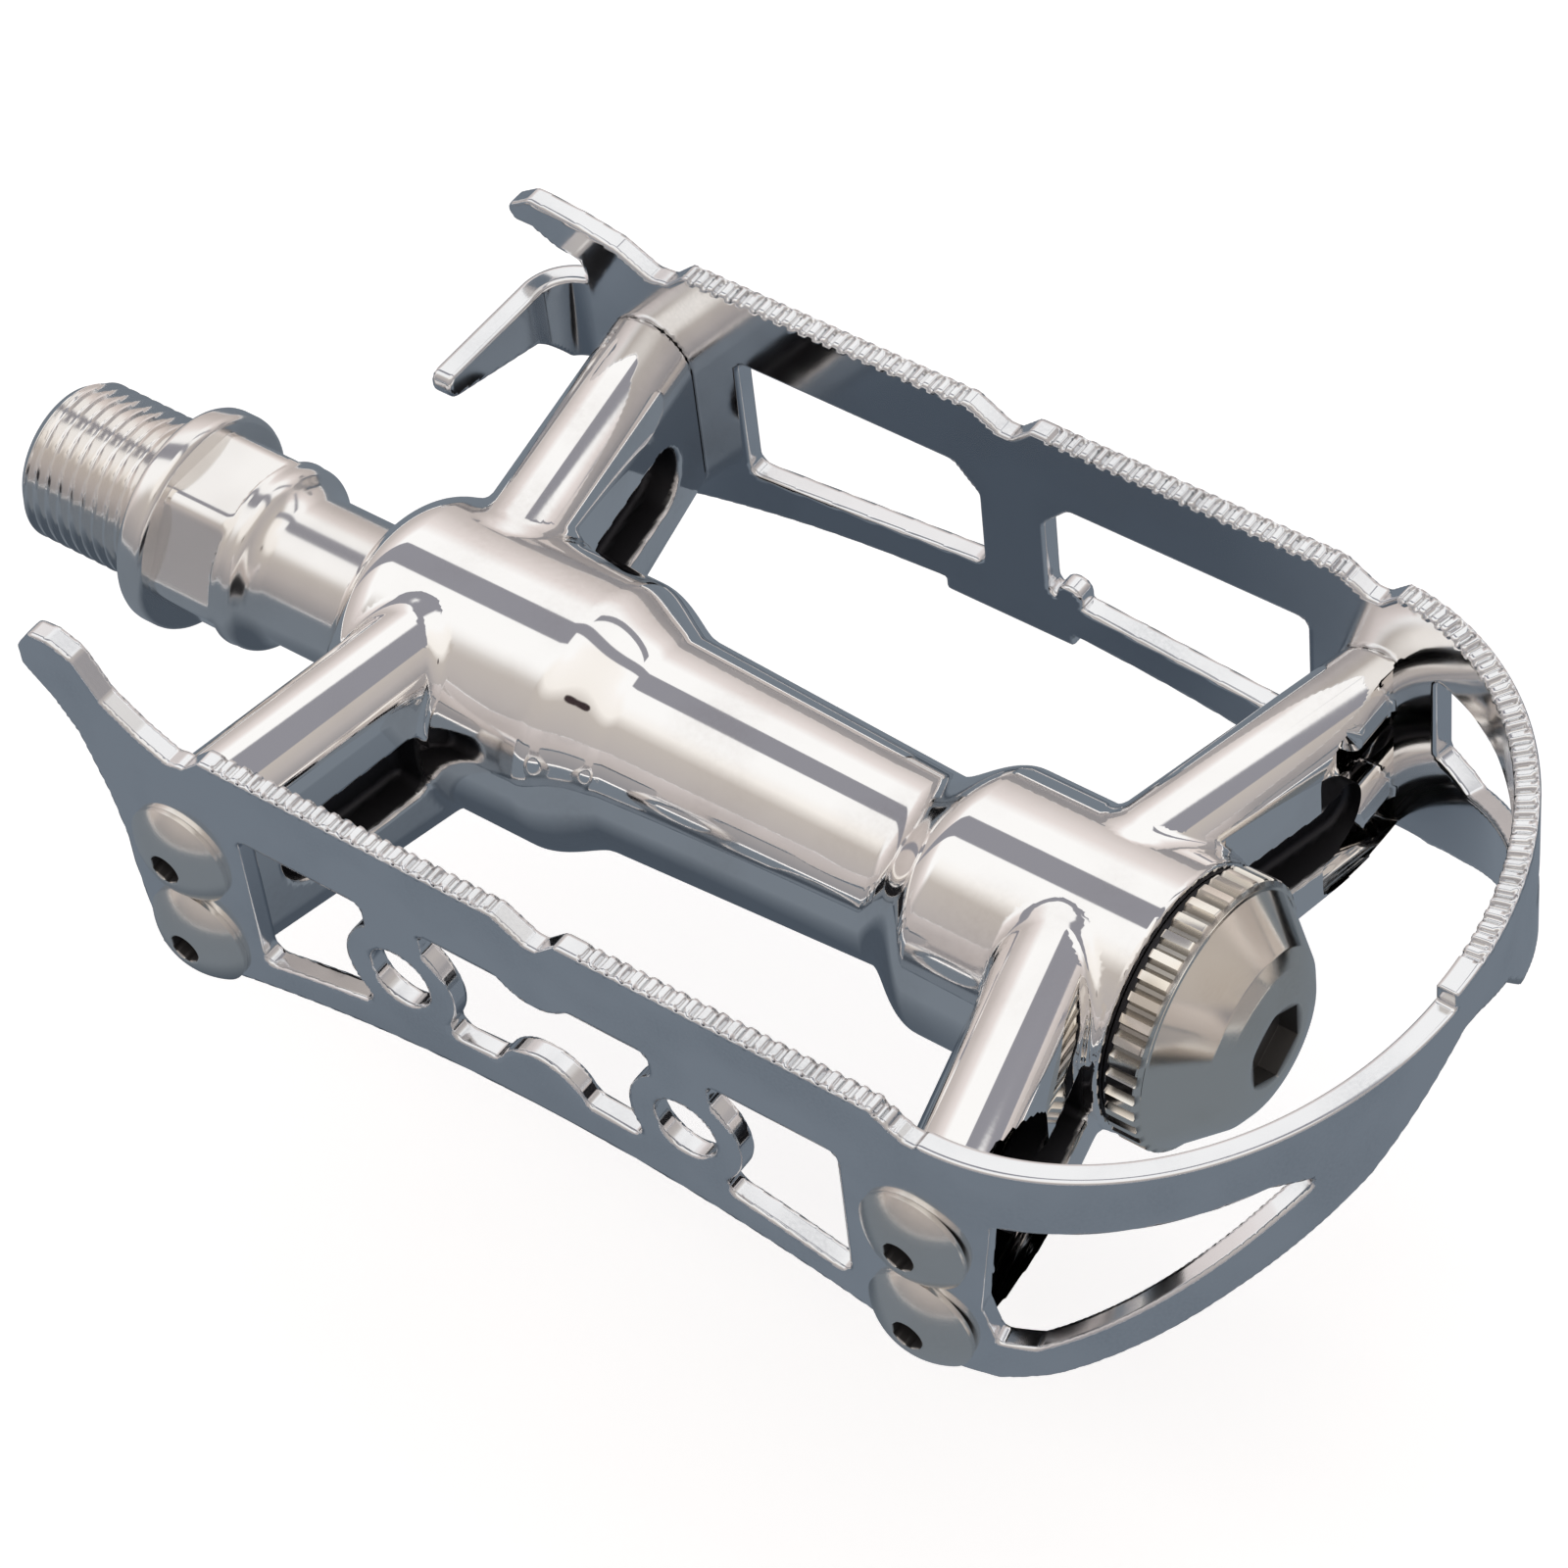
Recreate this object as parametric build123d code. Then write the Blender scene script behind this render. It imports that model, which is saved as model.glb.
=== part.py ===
from build123d import *
from math import cos, sin, pi, radians, sqrt
import os

# Road bicycle pedal, in millimetres.
# The spindle lies along X. The origin is on its axis, at the flange face that seats on the crank arm.
# The spindle's thread points to -X, the rounded end of the cage to +X, and Z is up.
# The front plate of the cage, with the toe clip holes, is at -Y, and the rear plate is at +Y.

# Fits between pieces
press_gap = 0.02
running_gap = 0.06
seat_gap = 0.05

# Spindle, crank side
thread_radius = 7.144
thread_length = 13.0
thread_chamfer = 1.0
flange_radius = 9.6
flange_width = 2.7
flange_edge = 0.6
hex_across_flats = 15.0
hex_length = 6.3
hex_corner_radius = 8.35
shoulder_radius = 8.1
shoulder_length = 1.6
neck_radius = 6.5
neck_fillet = 1.8

# Bearings
ball_radius = 1.5875
race_clearance = 0.05
inboard_ball_count = 12
inboard_pitch_radius = 6.7
inboard_ball_x = 27.5
outboard_ball_count = 11
outboard_pitch_radius = 6.2
outboard_ball_from_boss_end = 12.0
cup_wall = 0.66
cup_front = 3.0
cup_back = 3.1
cup_bore_gap = 0.6
dust_ring_depth = 2.7
dust_ring_wall = 1.0

# Spindle, inside the body
shaft_radius = 5.0
shaft_end_radius = 4.4
spindle_end_thread_radius = 4.0
spindle_end_chamfer = 0.6

# Cone, keyed washer and locknut on the spindle's end
cone_length = 5.4
cone_radius = 5.9
cone_hex_across_flats = 10.6
cone_hex_length = 2.2
washer_thickness = 1.0
washer_radius = 5.8
key_width = 2.0
key_depth = 0.8
locknut_across_flats = 12.0
locknut_thickness = 3.6
locknut_chamfer_radius = 6.5

# Body, turned shape
inboard_boss_radius = 11.6
inboard_boss_start = 21.6
inboard_boss_length = 22.0
inboard_dome_length = 4.5
inboard_dome_start_radius = 6.6
barrel_start_radius = 9.3
barrel_end_radius = 8.1
barrel_start = 48.5
barrel_end = 74.5
outboard_boss_radius = 11.3
outboard_boss_start = 79.6
outboard_boss_end = 98.0
step_round = 1.6
body_bore_radius = 6.3

# Arms, from the bosses to the cage
arm_width = 8.5
arm_top = 10.6
arm_root_bottom = -10.9
arm_end_bottom = -8.7
inboard_arm_root_x = 30.6
inboard_arm_end_x = 26.6
outboard_arm_from_boss_end = 6.7
outboard_arm_splay = 6.1
arm_root_y = 6.0
pocket_depth = 3.1
pocket_draft = 8.0
pocket_height = 6.5
pocket_start_y = 9.0
pocket_end_y = 25.4

# Cage, one strip bent round the outboard end
cage_half_width = 31.8
cage_thickness = 2.0
bend_from_screw = 0.75
cage_bend_length = 26.0
cage_inboard_edge = 21.2
cage_top = 17.6
cage_dip = 15.8
cage_bend_top = 16.1
cage_bottom = -9.8
cage_arch_top = -4.2
cage_tip_bottom = 12.7
bottom_step_from_bend = 5.0
dip_slope_length = 2.9
dip_step_length = 1.9
dip_floor_length = 1.1
inboard_dip_x = 28.6
middle_dip_x = 62.6
outboard_dip_from_bend = 0.4

# Cage, windows and holes
window_top = 10.0
rail_height = 3.5
window_corner = 1.0
front_window_start = 33.2
front_window_from_screw = 6.55
toe_clip_hole_radius = 2.9
toe_clip_hole_z = 3.0
toe_clip_hole_inboard_x = 48.1
toe_clip_hole_outboard_x = 75.2
toe_clip_ring_radius = 5.2
toe_clip_post_width = 5.4
middle_bump_radius = 4.5
middle_bump_x = 61.4
upper_bump_depth = 1.5
lower_bump_height = 2.9
rear_window_inboard_start = 35.7
rear_window_inboard_end = 59.5
rear_window_outboard_start = 65.8
rear_window_from_screw = 5.65
rear_window_corner = 2.4
tab_start = 55.4
tab_length = 12.6
tab_depth = 0.9

# Cage, horns at the inboard end
front_horn_reach = 7.6
front_horn_top = 23.4
front_horn_waist_z = 14.0
rear_horn_reach = 8.3
rear_horn_top = 18.6
rear_horn_height = 3.6
hook_outer_radius = 5.0
hook_end_y = 14.6
hook_top = 12.0
hook_tip_height = 2.2
hook_middle_height = 5.2
hook_root_height = 9.0
hook_tip_round = 0.9

# Cage screws
screw_radius = 2.0
screw_clearance = 0.2
screw_grip_length = 4.0
screw_hole_spare = 0.4
screw_z = 4.8
inboard_screw_x = 26.8
outboard_screw_from_arm_end = 1.15
screw_head_radius = 4.65
screw_head_height = 2.4
screw_head_rim = 0.5
screw_socket_across_flats = 2.5
screw_socket_depth = 1.5

# Dust cap
cap_knurl_radius = 11.3
cap_neck_radius = 10.5
cap_neck_length = 0.55
cap_knurl_root = 0.55
cap_knurl_length = 2.7
cap_rib_count = 40
cap_cone_start_radius = 10.8
cap_crown_radius = 7.6
cap_crown_height = 1.4
cap_length = 8.65
cap_wall = 2.4
cap_recess_across_flats = 6.0
cap_recess_depth = 1.8
cap_skirt_radius = 9.5
cap_skirt_length = 5.0
cap_skirt_bore = 7.4
ring_section_radius = 0.6
ring_squeeze = 0.05
ring_from_face = 1.6

# Places worked out from the sizes above
outboard_ball_x = outboard_boss_end - outboard_ball_from_boss_end
outboard_arm_root_x = outboard_boss_end - outboard_arm_from_boss_end
outboard_arm_end_x = outboard_arm_root_x + outboard_arm_splay
outboard_screw_x = outboard_arm_end_x - outboard_screw_from_arm_end
cage_bend_start = outboard_screw_x + bend_from_screw
outboard_dip_x = cage_bend_start - outboard_dip_from_bend
front_window_end = outboard_screw_x - front_window_from_screw
rear_window_outboard_end = outboard_screw_x - rear_window_from_screw
boss_inner = inboard_boss_start + inboard_boss_length
race_radius = ball_radius + race_clearance
inboard_cup_radius = inboard_pitch_radius + race_radius + cup_wall
outboard_cup_radius = outboard_pitch_radius + race_radius + cup_wall
inboard_cup_end = inboard_ball_x + cup_back
outboard_cup_start = outboard_ball_x - cup_back
cone_start = outboard_ball_x - race_radius * 0.2
cone_end = cone_start + cone_length
washer_start = cone_end + seat_gap
locknut_start = washer_start + washer_thickness + seat_gap
locknut_end = locknut_start + locknut_thickness
spindle_end = locknut_end + 1.0
spindle_thread_start = cone_start - 0.8
neck_end = inboard_ball_x - sqrt(race_radius ** 2 - (inboard_pitch_radius - neck_radius) ** 2)
hex_end = flange_width + hex_length
shoulder_end = hex_end + shoulder_length
cage_inner_y = cage_half_width - cage_thickness
cage_bottom_step_x = cage_bend_start - bottom_step_from_bend
bend_view_angle = 50.0


def turned(points):
    """A solid of revolution about X, from (x, radius) points."""
    outline = Polyline(*[(x, 0, r) for x, r in points], close=True)
    return revolve(make_face(outline), Axis.X, 360)


def disc(start, end, radius):
    """A round bar along X."""
    bar = Cylinder(radius, end - start, align=(Align.CENTER, Align.CENTER, Align.MIN))
    return Plane(origin=(start, 0, 0), z_dir=(1, 0, 0)) * bar


def hex_bar(start, end, across_flats):
    """A hexagonal bar along X with one flat on top."""
    prism = extrude(RegularPolygon(across_flats / 2, 6, major_radius=False), end - start)
    bar = Plane(origin=(start, 0, 0), x_dir=(0, 1, 0), z_dir=(1, 0, 0)) * prism
    return bar


def ball_groove(x, pitch_radius, radius):
    """The ring of space that a set of balls sweeps."""
    ring = Torus(pitch_radius, radius)
    return Plane(origin=(x, 0, 0), z_dir=(1, 0, 0)) * ring


def ball_set(x, pitch_radius, count):
    """Loose balls, evenly spaced round the spindle."""
    balls = []
    for i in range(count):
        angle = 2 * pi * i / count
        balls.append(Pos(x, pitch_radius * cos(angle), pitch_radius * sin(angle)) * Sphere(ball_radius))
    return Compound(balls)


def side_prism(points, y_from, y_to):
    """A prism along Y, from (x, z) points of its outline."""
    face = make_face(Polyline(*[(x, y_from, z) for x, z in points], close=True))
    return extrude(face, amount=y_to - y_from, dir=(0, 1, 0))


def softened(face, radius):
    """The same flat face with its outward corners rounded."""
    small = offset(face, -radius, kind=Kind.INTERSECTION)
    return offset(small, radius, kind=Kind.ARC)


def soft_side_prism(points, radius, y_from, y_to):
    """A prism along Y from (x, z) points, with rounded corners."""
    wall = Plane(origin=(0, y_to, 0), x_dir=(1, 0, 0), z_dir=(0, -1, 0))
    outline = make_face(Polyline(*points, close=True))
    return extrude(wall * softened(outline, radius), y_to - y_from)


def make_spindle():
    flat_corner = hex_across_flats / 2 / cos(pi / 6)
    stub = turned([
        (-thread_length, 0),
        (-thread_length, thread_radius - thread_chamfer),
        (-thread_length + thread_chamfer, thread_radius),
        (0, thread_radius),
        (0, flange_radius - flange_edge),
        (flange_edge, flange_radius),
        (flange_width - flange_edge, flange_radius),
        (flange_width, flange_radius - flange_edge),
        (flange_width, 0),
    ])
    corner_drop = flat_corner - shoulder_radius
    corners = turned([
        (flange_width - flange_edge, 0),
        (flange_width - flange_edge, hex_corner_radius),
        (hex_end - corner_drop * 2, hex_corner_radius),
        (hex_end, shoulder_radius),
        (shoulder_end, shoulder_radius),
        (shoulder_end, 0),
    ])
    hexagon = hex_bar(flange_width - flange_edge, hex_end, hex_across_flats) & corners
    hollow = neck_fillet
    neck = turned([
        (hex_end - corner_drop * 2, 0),
        (hex_end - corner_drop * 2, hex_across_flats / 2),
        (hex_end, shoulder_radius),
        (shoulder_end, shoulder_radius),
        (shoulder_end + hollow * 0.35, neck_radius + (shoulder_radius - neck_radius) * 0.45),
        (shoulder_end + hollow, neck_radius),
        (neck_end, neck_radius),
        (neck_end, 0),
    ])
    shaft = turned([
        (neck_end - 1.0, 0),
        (neck_end - 1.0, neck_radius - 0.2),
        (neck_end, neck_radius),
        (inboard_ball_x, neck_radius),
        (inboard_ball_x, shaft_radius),
        (inboard_ball_x + race_radius, shaft_radius),
        (spindle_thread_start - 2.0, shaft_end_radius),
        (spindle_thread_start, shaft_end_radius),
        (spindle_thread_start + 0.5, spindle_end_thread_radius),
        (spindle_end - spindle_end_chamfer, spindle_end_thread_radius),
        (spindle_end, spindle_end_thread_radius - spindle_end_chamfer),
        (spindle_end, 0),
    ])
    shaft -= ball_groove(inboard_ball_x, inboard_pitch_radius, race_radius)
    keyway = Pos((cone_start + spindle_end) / 2, 0, spindle_end_thread_radius - key_depth / 2)
    slot = keyway * Box(spindle_end - cone_start + 2, key_width, key_depth * 1.01)
    return stub + hexagon + neck + shaft - slot


def dome_profile(steps=8):
    """The rounded inboard end of the body, as (x, radius) points."""
    points = []
    rise = inboard_boss_radius - inboard_dome_start_radius
    for i in range(steps + 1):
        angle = pi / 2 * i / steps
        x = inboard_boss_start + inboard_dome_length * (1 - cos(angle))
        points.append((x, inboard_dome_start_radius + rise * sin(angle)))
    return points


def make_dust_ring():
    """The ring that closes the body round the spindle's neck and completes its rounded end."""
    start = inboard_boss_start
    end = start + dust_ring_depth
    outline = turned(dome_profile() + [(start + inboard_dome_length, 0), (start, 0)])
    ring = outline & disc(start, end, inboard_cup_radius)
    ring -= disc(start - 1, end + 1, neck_radius + running_gap)
    inner = inboard_cup_radius - dust_ring_wall
    return ring - disc(end - dust_ring_wall, end + 1, inner)


def make_cup(ball_x, pitch_radius, open_side, cup_radius, shaft_hole):
    """A bearing cup: a ring with a ball race, open towards its balls' side."""
    near = ball_x + open_side * cup_front
    far = ball_x - open_side * cup_back
    ring = disc(min(near, far), max(near, far), cup_radius)
    mouth = disc(min(near, ball_x), max(near, ball_x), pitch_radius + race_radius)
    hole = disc(min(near, far) - 1, max(near, far) + 1, shaft_hole)
    return ring - mouth - hole - ball_groove(ball_x, pitch_radius, race_radius)


def make_inboard_cup():
    hole = shaft_radius + cup_bore_gap
    return make_cup(inboard_ball_x, inboard_pitch_radius, -1, inboard_cup_radius, hole)


def make_outboard_cup():
    hole = shaft_end_radius + cup_bore_gap
    return make_cup(outboard_ball_x, outboard_pitch_radius, 1, outboard_cup_radius, hole)


def make_cone():
    hex_start = cone_end - cone_hex_length
    blank = disc(cone_start, hex_start, cone_radius)
    blank += hex_bar(hex_start, cone_end, cone_hex_across_flats)
    blank -= disc(cone_start - 1, cone_end + 1, spindle_end_thread_radius + press_gap)
    return blank - ball_groove(outboard_ball_x, outboard_pitch_radius, race_radius)


def make_keyed_washer():
    washer = disc(washer_start, washer_start + washer_thickness, washer_radius)
    washer -= disc(washer_start - 1, washer_start + 2, spindle_end_thread_radius + press_gap)
    depth = key_depth - 2 * press_gap
    key_top = spindle_end_thread_radius + key_depth / 2
    key = Box(washer_thickness, key_width - 2 * press_gap, key_depth / 2 + depth)
    key_place = Pos(washer_start + washer_thickness / 2, 0, key_top - (key_depth / 2 + depth) / 2)
    return washer + key_place * key


def make_locknut():
    nut = hex_bar(locknut_start, locknut_end, locknut_across_flats)
    nut &= turned([
        (locknut_start, 0),
        (locknut_start, locknut_chamfer_radius),
        (locknut_start + 0.5, locknut_chamfer_radius + 0.5),
        (locknut_end - 0.5, locknut_chamfer_radius + 0.5),
        (locknut_end, locknut_chamfer_radius),
        (locknut_end, 0),
    ])
    return nut - disc(locknut_start - 1, locknut_end + 1, spindle_end_thread_radius + press_gap)


def boss_and_barrel():
    """The turned middle of the body, before its arms and bores."""
    step_length = outboard_boss_start - barrel_end
    step_rise = outboard_boss_radius - barrel_end_radius
    profile = dome_profile() + [
        (boss_inner, inboard_boss_radius),
        (barrel_start - step_round, barrel_start_radius),
        (barrel_start, barrel_start_radius),
        (barrel_end, barrel_end_radius),
        (barrel_end + step_length * 0.27, barrel_end_radius + step_rise * 0.28),
        (barrel_end + step_length * 0.74, barrel_end_radius + step_rise * 0.84),
        (outboard_boss_start, outboard_boss_radius),
        (outboard_boss_end, outboard_boss_radius),
        (outboard_boss_end, 0),
        (inboard_boss_start, 0),
    ]
    return turned(profile)


def arm_section(plane, bottom, up):
    """An arm's cross-section: a tall shape with a fully rounded top and bottom."""
    half = arm_width / 2
    high = arm_top - half
    low = bottom + half
    left = Line((-half, up * high), (-half, up * low))
    under = ThreePointArc((-half, up * low), (0, up * bottom), (half, up * low))
    right = Line((half, up * low), (half, up * high))
    over = ThreePointArc((half, up * high), (0, up * arm_top), (-half, up * high))
    return plane * make_face([left, under, right, over])


def make_arm(root_x, end_x, side):
    """One splayed arm with a pocket in each flank."""
    reach = cage_inner_y - arm_root_y
    splay = (end_x - root_x) / reach
    start = Vector(root_x - splay * arm_root_y, 0, 0)
    along = Vector(splay, side, 0).normalized()
    half = arm_width / 2
    length = cage_half_width * 1.2
    across = Vector(side * along.Y, -side * along.X, 0)
    root = Plane(origin=start, x_dir=across, z_dir=along)
    end = Plane(origin=start + along * length, x_dir=across, z_dir=along)
    up = 1 if root.y_dir.Z > 0 else -1
    slope = (arm_end_bottom - arm_root_bottom) / reach
    low_root = arm_root_bottom - slope * arm_root_y
    low_end = low_root + slope * length * abs(along.Y)
    arm = loft([arm_section(root, low_root, up), arm_section(end, low_end, up)], ruled=True)
    pocket_length = (pocket_end_y - pocket_start_y) / abs(along.Y)
    pocket_middle = (pocket_end_y + pocket_start_y) / 2 / abs(along.Y)
    for flank in (-1, 1):
        outward = across * flank
        wall = Plane(origin=start + along * pocket_middle + outward * (half + 0.01), x_dir=along, z_dir=outward)
        mouth = SlotOverall(pocket_length, pocket_height)
        arm -= extrude(wall * mouth, -pocket_depth - 0.01, taper=pocket_draft)
    end_cut = Pos(start.X, side * (cage_inner_y + length / 2), 0) * Box(200, length, 100)
    return arm - end_cut


def screw_places():
    """Name and place of each cage screw: (name, x, side, z)."""
    places = []
    for plate, side in (("front", -1), ("rear", 1)):
        for end, x in (("inboard", inboard_screw_x), ("outboard", outboard_screw_x)):
            for level, z in (("upper", screw_z), ("lower", -screw_z)):
                places.append((f"screw_{plate}_{end}_{level}", x, side, z))
    return places


def y_bar(x, y_from, y_to, z, radius):
    """A round bar along Y."""
    low = min(y_from, y_to)
    bar = Cylinder(radius, abs(y_to - y_from), align=(Align.CENTER, Align.CENTER, Align.MIN))
    return Plane(origin=(x, low, z), x_dir=(1, 0, 0), z_dir=(0, 1, 0)) * bar


def make_body():
    body = boss_and_barrel()
    for side in (-1, 1):
        body += make_arm(inboard_arm_root_x, inboard_arm_end_x, side)
        body += make_arm(outboard_arm_root_x, outboard_arm_end_x, side)
    body -= disc(inboard_boss_start - 1, inboard_cup_end, inboard_cup_radius + press_gap)
    body -= disc(inboard_cup_end - 1, outboard_boss_end + 1, body_bore_radius)
    body -= disc(outboard_cup_start, outboard_boss_end + 1, outboard_cup_radius + press_gap)
    skirt_start = outboard_boss_end - cap_skirt_length - seat_gap
    body -= disc(skirt_start, outboard_boss_end + 1, cap_skirt_radius + press_gap)
    body -= disc(outboard_boss_end, outboard_boss_end + 20, cage_half_width * 0.4)
    body -= strip(seat_gap)
    depth = screw_grip_length + screw_hole_spare
    for name, x, side, z in screw_places():
        body -= y_bar(x, side * (cage_inner_y - depth), side * (cage_inner_y + 1), z, screw_radius + press_gap)
    return body


def strip(grow=0.0):
    """The bent cage strip, as a plain band without its outline or windows."""
    low = cage_bottom - 1.0
    high = front_horn_top + 1.0
    start = cage_inboard_edge - front_horn_reach - rear_horn_reach

    def plan(half_width, bend_length):
        flat = Pos((start + cage_bend_start) / 2, 0) * Rectangle(cage_bend_start - start, 2 * half_width)
        return flat + Pos(cage_bend_start, 0) * Ellipse(bend_length, half_width)

    outer = plan(cage_half_width + grow, cage_bend_length + grow)
    inner = plan(cage_inner_y - grow, cage_bend_length - cage_thickness - grow)
    inner += Pos(start, 0) * Rectangle(cage_thickness * 4, 2 * (cage_inner_y - grow))
    return extrude(Pos(0, 0, low) * (outer - inner), high - low)


def dip_cut(x, y_from, y_to, ramp=True, step=True):
    """A dip in the cage's top edge: a slope, a short floor and a steep step."""
    high = front_horn_top + 2.0
    half_floor = dip_floor_length / 2
    left = x - half_floor - (dip_slope_length if ramp else 0)
    right = x + half_floor + (dip_step_length if step else 0)
    points = [
        (left, high),
        (left, cage_top if ramp else cage_dip),
        (x - half_floor, cage_dip),
        (x + half_floor, cage_dip),
        (right, cage_top if step else cage_dip),
        (right, high),
    ]
    clean = [p for i, p in enumerate(points) if p != points[i - 1]]
    return side_prism(clean, y_from, y_to)


def bottom_cut():
    """What is cut away below the straight plates: an arch between the screw lobes."""
    wide = cage_half_width + 5
    low = cage_bottom - 8
    arch_start = (cage_inboard_edge + 3.6, cage_bottom)
    middle_x = (cage_inboard_edge + cage_bend_start) / 2 + 2.0
    arch_end = (cage_bottom_step_x, cage_bottom + 1.9)
    arc = ThreePointArc(
        (arch_start[0], -wide, arch_start[1]),
        (middle_x, -wide, cage_arch_top),
        (arch_end[0], -wide, arch_end[1]),
    )
    rest = Polyline(
        (arch_end[0], -wide, arch_end[1]),
        (arch_end[0] + 1.6, -wide, cage_bottom),
        (cage_bend_start + 0.5, -wide, cage_bottom),
        (cage_bend_start + 0.5, -wide, low),
        (cage_inboard_edge - 20, -wide, low),
        (cage_inboard_edge - 20, -wide, cage_bottom),
        (arch_start[0], -wide, arch_start[1]),
    )
    return extrude(make_face([arc, rest]), amount=2 * wide, dir=(0, 1, 0))


def bend_plane(side):
    """A vertical plane square to the bend, for cuts through its curved wall."""
    angle = radians(bend_view_angle)
    tangent = (sin(angle), -side * cos(angle), 0)
    outward = (cos(angle), side * sin(angle), 0)
    return Plane(origin=(cage_bend_start, 0, 0), x_dir=tangent, z_dir=outward)


def bend_prism(side, points, radius=0.0):
    """A prism through the curved wall, from (along, z) points on the bend plane."""
    plane = bend_plane(side)
    up = 1 if plane.y_dir.Z > 0 else -1
    outline = make_face(Polyline(*[(u, up * z) for u, z in points], close=True))
    if radius > 0:
        outline = softened(outline, radius)
    return extrude(plane * outline, cage_bend_length + cage_half_width)


def bend_bottom(side):
    """What is cut away below the curved part: its lower edge climbs to the tip."""
    reach = sin(radians(bend_view_angle))
    tip = cage_bend_length * reach
    start = -cage_half_width * cos(radians(bend_view_angle))
    low = cage_bottom - 8
    return bend_prism(side, [
        (start - 6, low),
        (start - 6, cage_bottom - 0.01),
        (start + 4.5, cage_bottom + 0.9),
        (start + 8.6, cage_bottom + 2.6),
        (start + 21.9, cage_bottom + 10.4),
        (start + 32.6, cage_bottom + 15.9),
        (start + 35.4, cage_bottom + (18.2 if side < 0 else 20.2)),
        (tip - 1.2, cage_tip_bottom - (1.0 if side < 0 else 0.2)),
        (tip + 0.01, cage_tip_bottom),
        (tip + 0.01, low),
    ])


def front_windows():
    """The three windows of the front plate, round its two toe clip rings."""
    middle_x = (cage_inboard_edge + cage_bend_start) / 2 + 2.0
    low_end = cage_bottom + rail_height + 1.6
    low_middle = cage_arch_top + rail_height
    arc = ThreePointArc((front_window_start, low_end), (middle_x, low_middle), (front_window_end, low_end))
    rest = Polyline(
        (front_window_end, low_end),
        (front_window_end, window_top),
        (front_window_start, window_top),
        (front_window_start, low_end),
    )
    band = make_face([arc, rest])
    for x in (toe_clip_hole_inboard_x, toe_clip_hole_outboard_x):
        band -= Pos(x, toe_clip_hole_z) * Circle(toe_clip_ring_radius)
        band -= Pos(x, 0) * Rectangle(toe_clip_post_width, 60)
    lower_z = low_middle + lower_bump_height - middle_bump_radius
    upper_z = window_top - upper_bump_depth + middle_bump_radius
    band -= Pos(middle_bump_x, lower_z) * Circle(middle_bump_radius)
    band -= Pos(middle_bump_x + 0.4, upper_z) * Circle(middle_bump_radius)
    wall = Plane(origin=(0, 3 - cage_inner_y, 0), x_dir=(1, 0, 0), z_dir=(0, -1, 0))
    cuts = []
    for window in band.faces():
        cuts.append(extrude(wall * softened(window, window_corner), cage_thickness + 6))
    return cuts


def rear_windows():
    """The two long windows of the rear plate."""
    y_from = cage_inner_y - 3
    y_to = cage_half_width + 3
    low = cage_arch_top + rail_height
    first = soft_side_prism([
        (rear_window_inboard_start, low - 1.9),
        (rear_window_inboard_start, window_top + 0.2),
        (rear_window_inboard_end - rear_window_corner, window_top + 0.2),
        (rear_window_inboard_end, window_top - rear_window_corner),
        (rear_window_inboard_end, low + 0.3),
    ], window_corner, y_from, y_to)
    second = soft_side_prism([
        (rear_window_outboard_start, low + 0.3),
        (rear_window_outboard_start, window_top - rear_window_corner),
        (rear_window_outboard_start + rear_window_corner, window_top + 0.2),
        (rear_window_outboard_end, window_top + 0.2),
        (rear_window_outboard_end, low - 1.9),
    ], window_corner, y_from, y_to)
    bump = y_bar(rear_window_outboard_start + 2.0, y_from, y_to, low + 0.6, 1.3)
    return first, second - bump


def front_horn():
    """The part of the front plate inboard of its screws, which rises into a horn."""
    edge = cage_inboard_edge
    top = front_horn_top
    waist = front_horn_waist_z
    tip = edge - front_horn_reach
    return soft_side_prism([
        (edge + 0.6, cage_bottom),
        (edge - 0.4, 0),
        (edge - 0.4, 3.0),
        (edge - 1.2, 7.5),
        (edge - 3.0, waist - 0.4),
        (edge - 5.0, waist + 2.6),
        (tip + 0.1, waist + 5.0),
        (tip, top - 2.4),
        (tip + 1.6, top - 0.2),
        (tip + 3.6, top),
        (tip + 5.8, top - 0.9),
        (tip + 8.0, cage_top + 1.4),
        (tip + 11.0, cage_top - 0.7),
        (inboard_dip_x - 1.2, cage_dip - 0.3),
        (inboard_dip_x, cage_dip),
        (inboard_dip_x + 6, cage_dip),
        (inboard_dip_x + 6, cage_bottom),
    ], 0.9, -cage_half_width - 1, -cage_inner_y + 1)


def rear_horn():
    """The inboard end of the rear plate, with its upper horn."""
    edge = cage_inboard_edge
    tip = edge - rear_horn_reach
    top = rear_horn_top
    low = top - rear_horn_height
    return soft_side_prism([
        (edge + 0.6, cage_bottom),
        (edge - 0.4, 0),
        (edge - 0.4, hook_top),
        (edge - 1.2, low - 1.0),
        (edge - 3.6, low - 0.6),
        (edge - 6.0, low + 0.6),
        (tip + 0.4, low + 0.6),
        (tip, top - 1.6),
        (tip + 2.4, top),
        (edge - 1.0, top - 0.5),
        (edge + 3.0, top - 1.3),
        (inboard_dip_x - 1.2, cage_dip - 0.2),
        (inboard_dip_x, cage_dip),
        (inboard_dip_x + 6, cage_dip),
        (inboard_dip_x + 6, cage_bottom),
    ], 0.7, cage_inner_y - 1, cage_half_width + 1)


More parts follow.
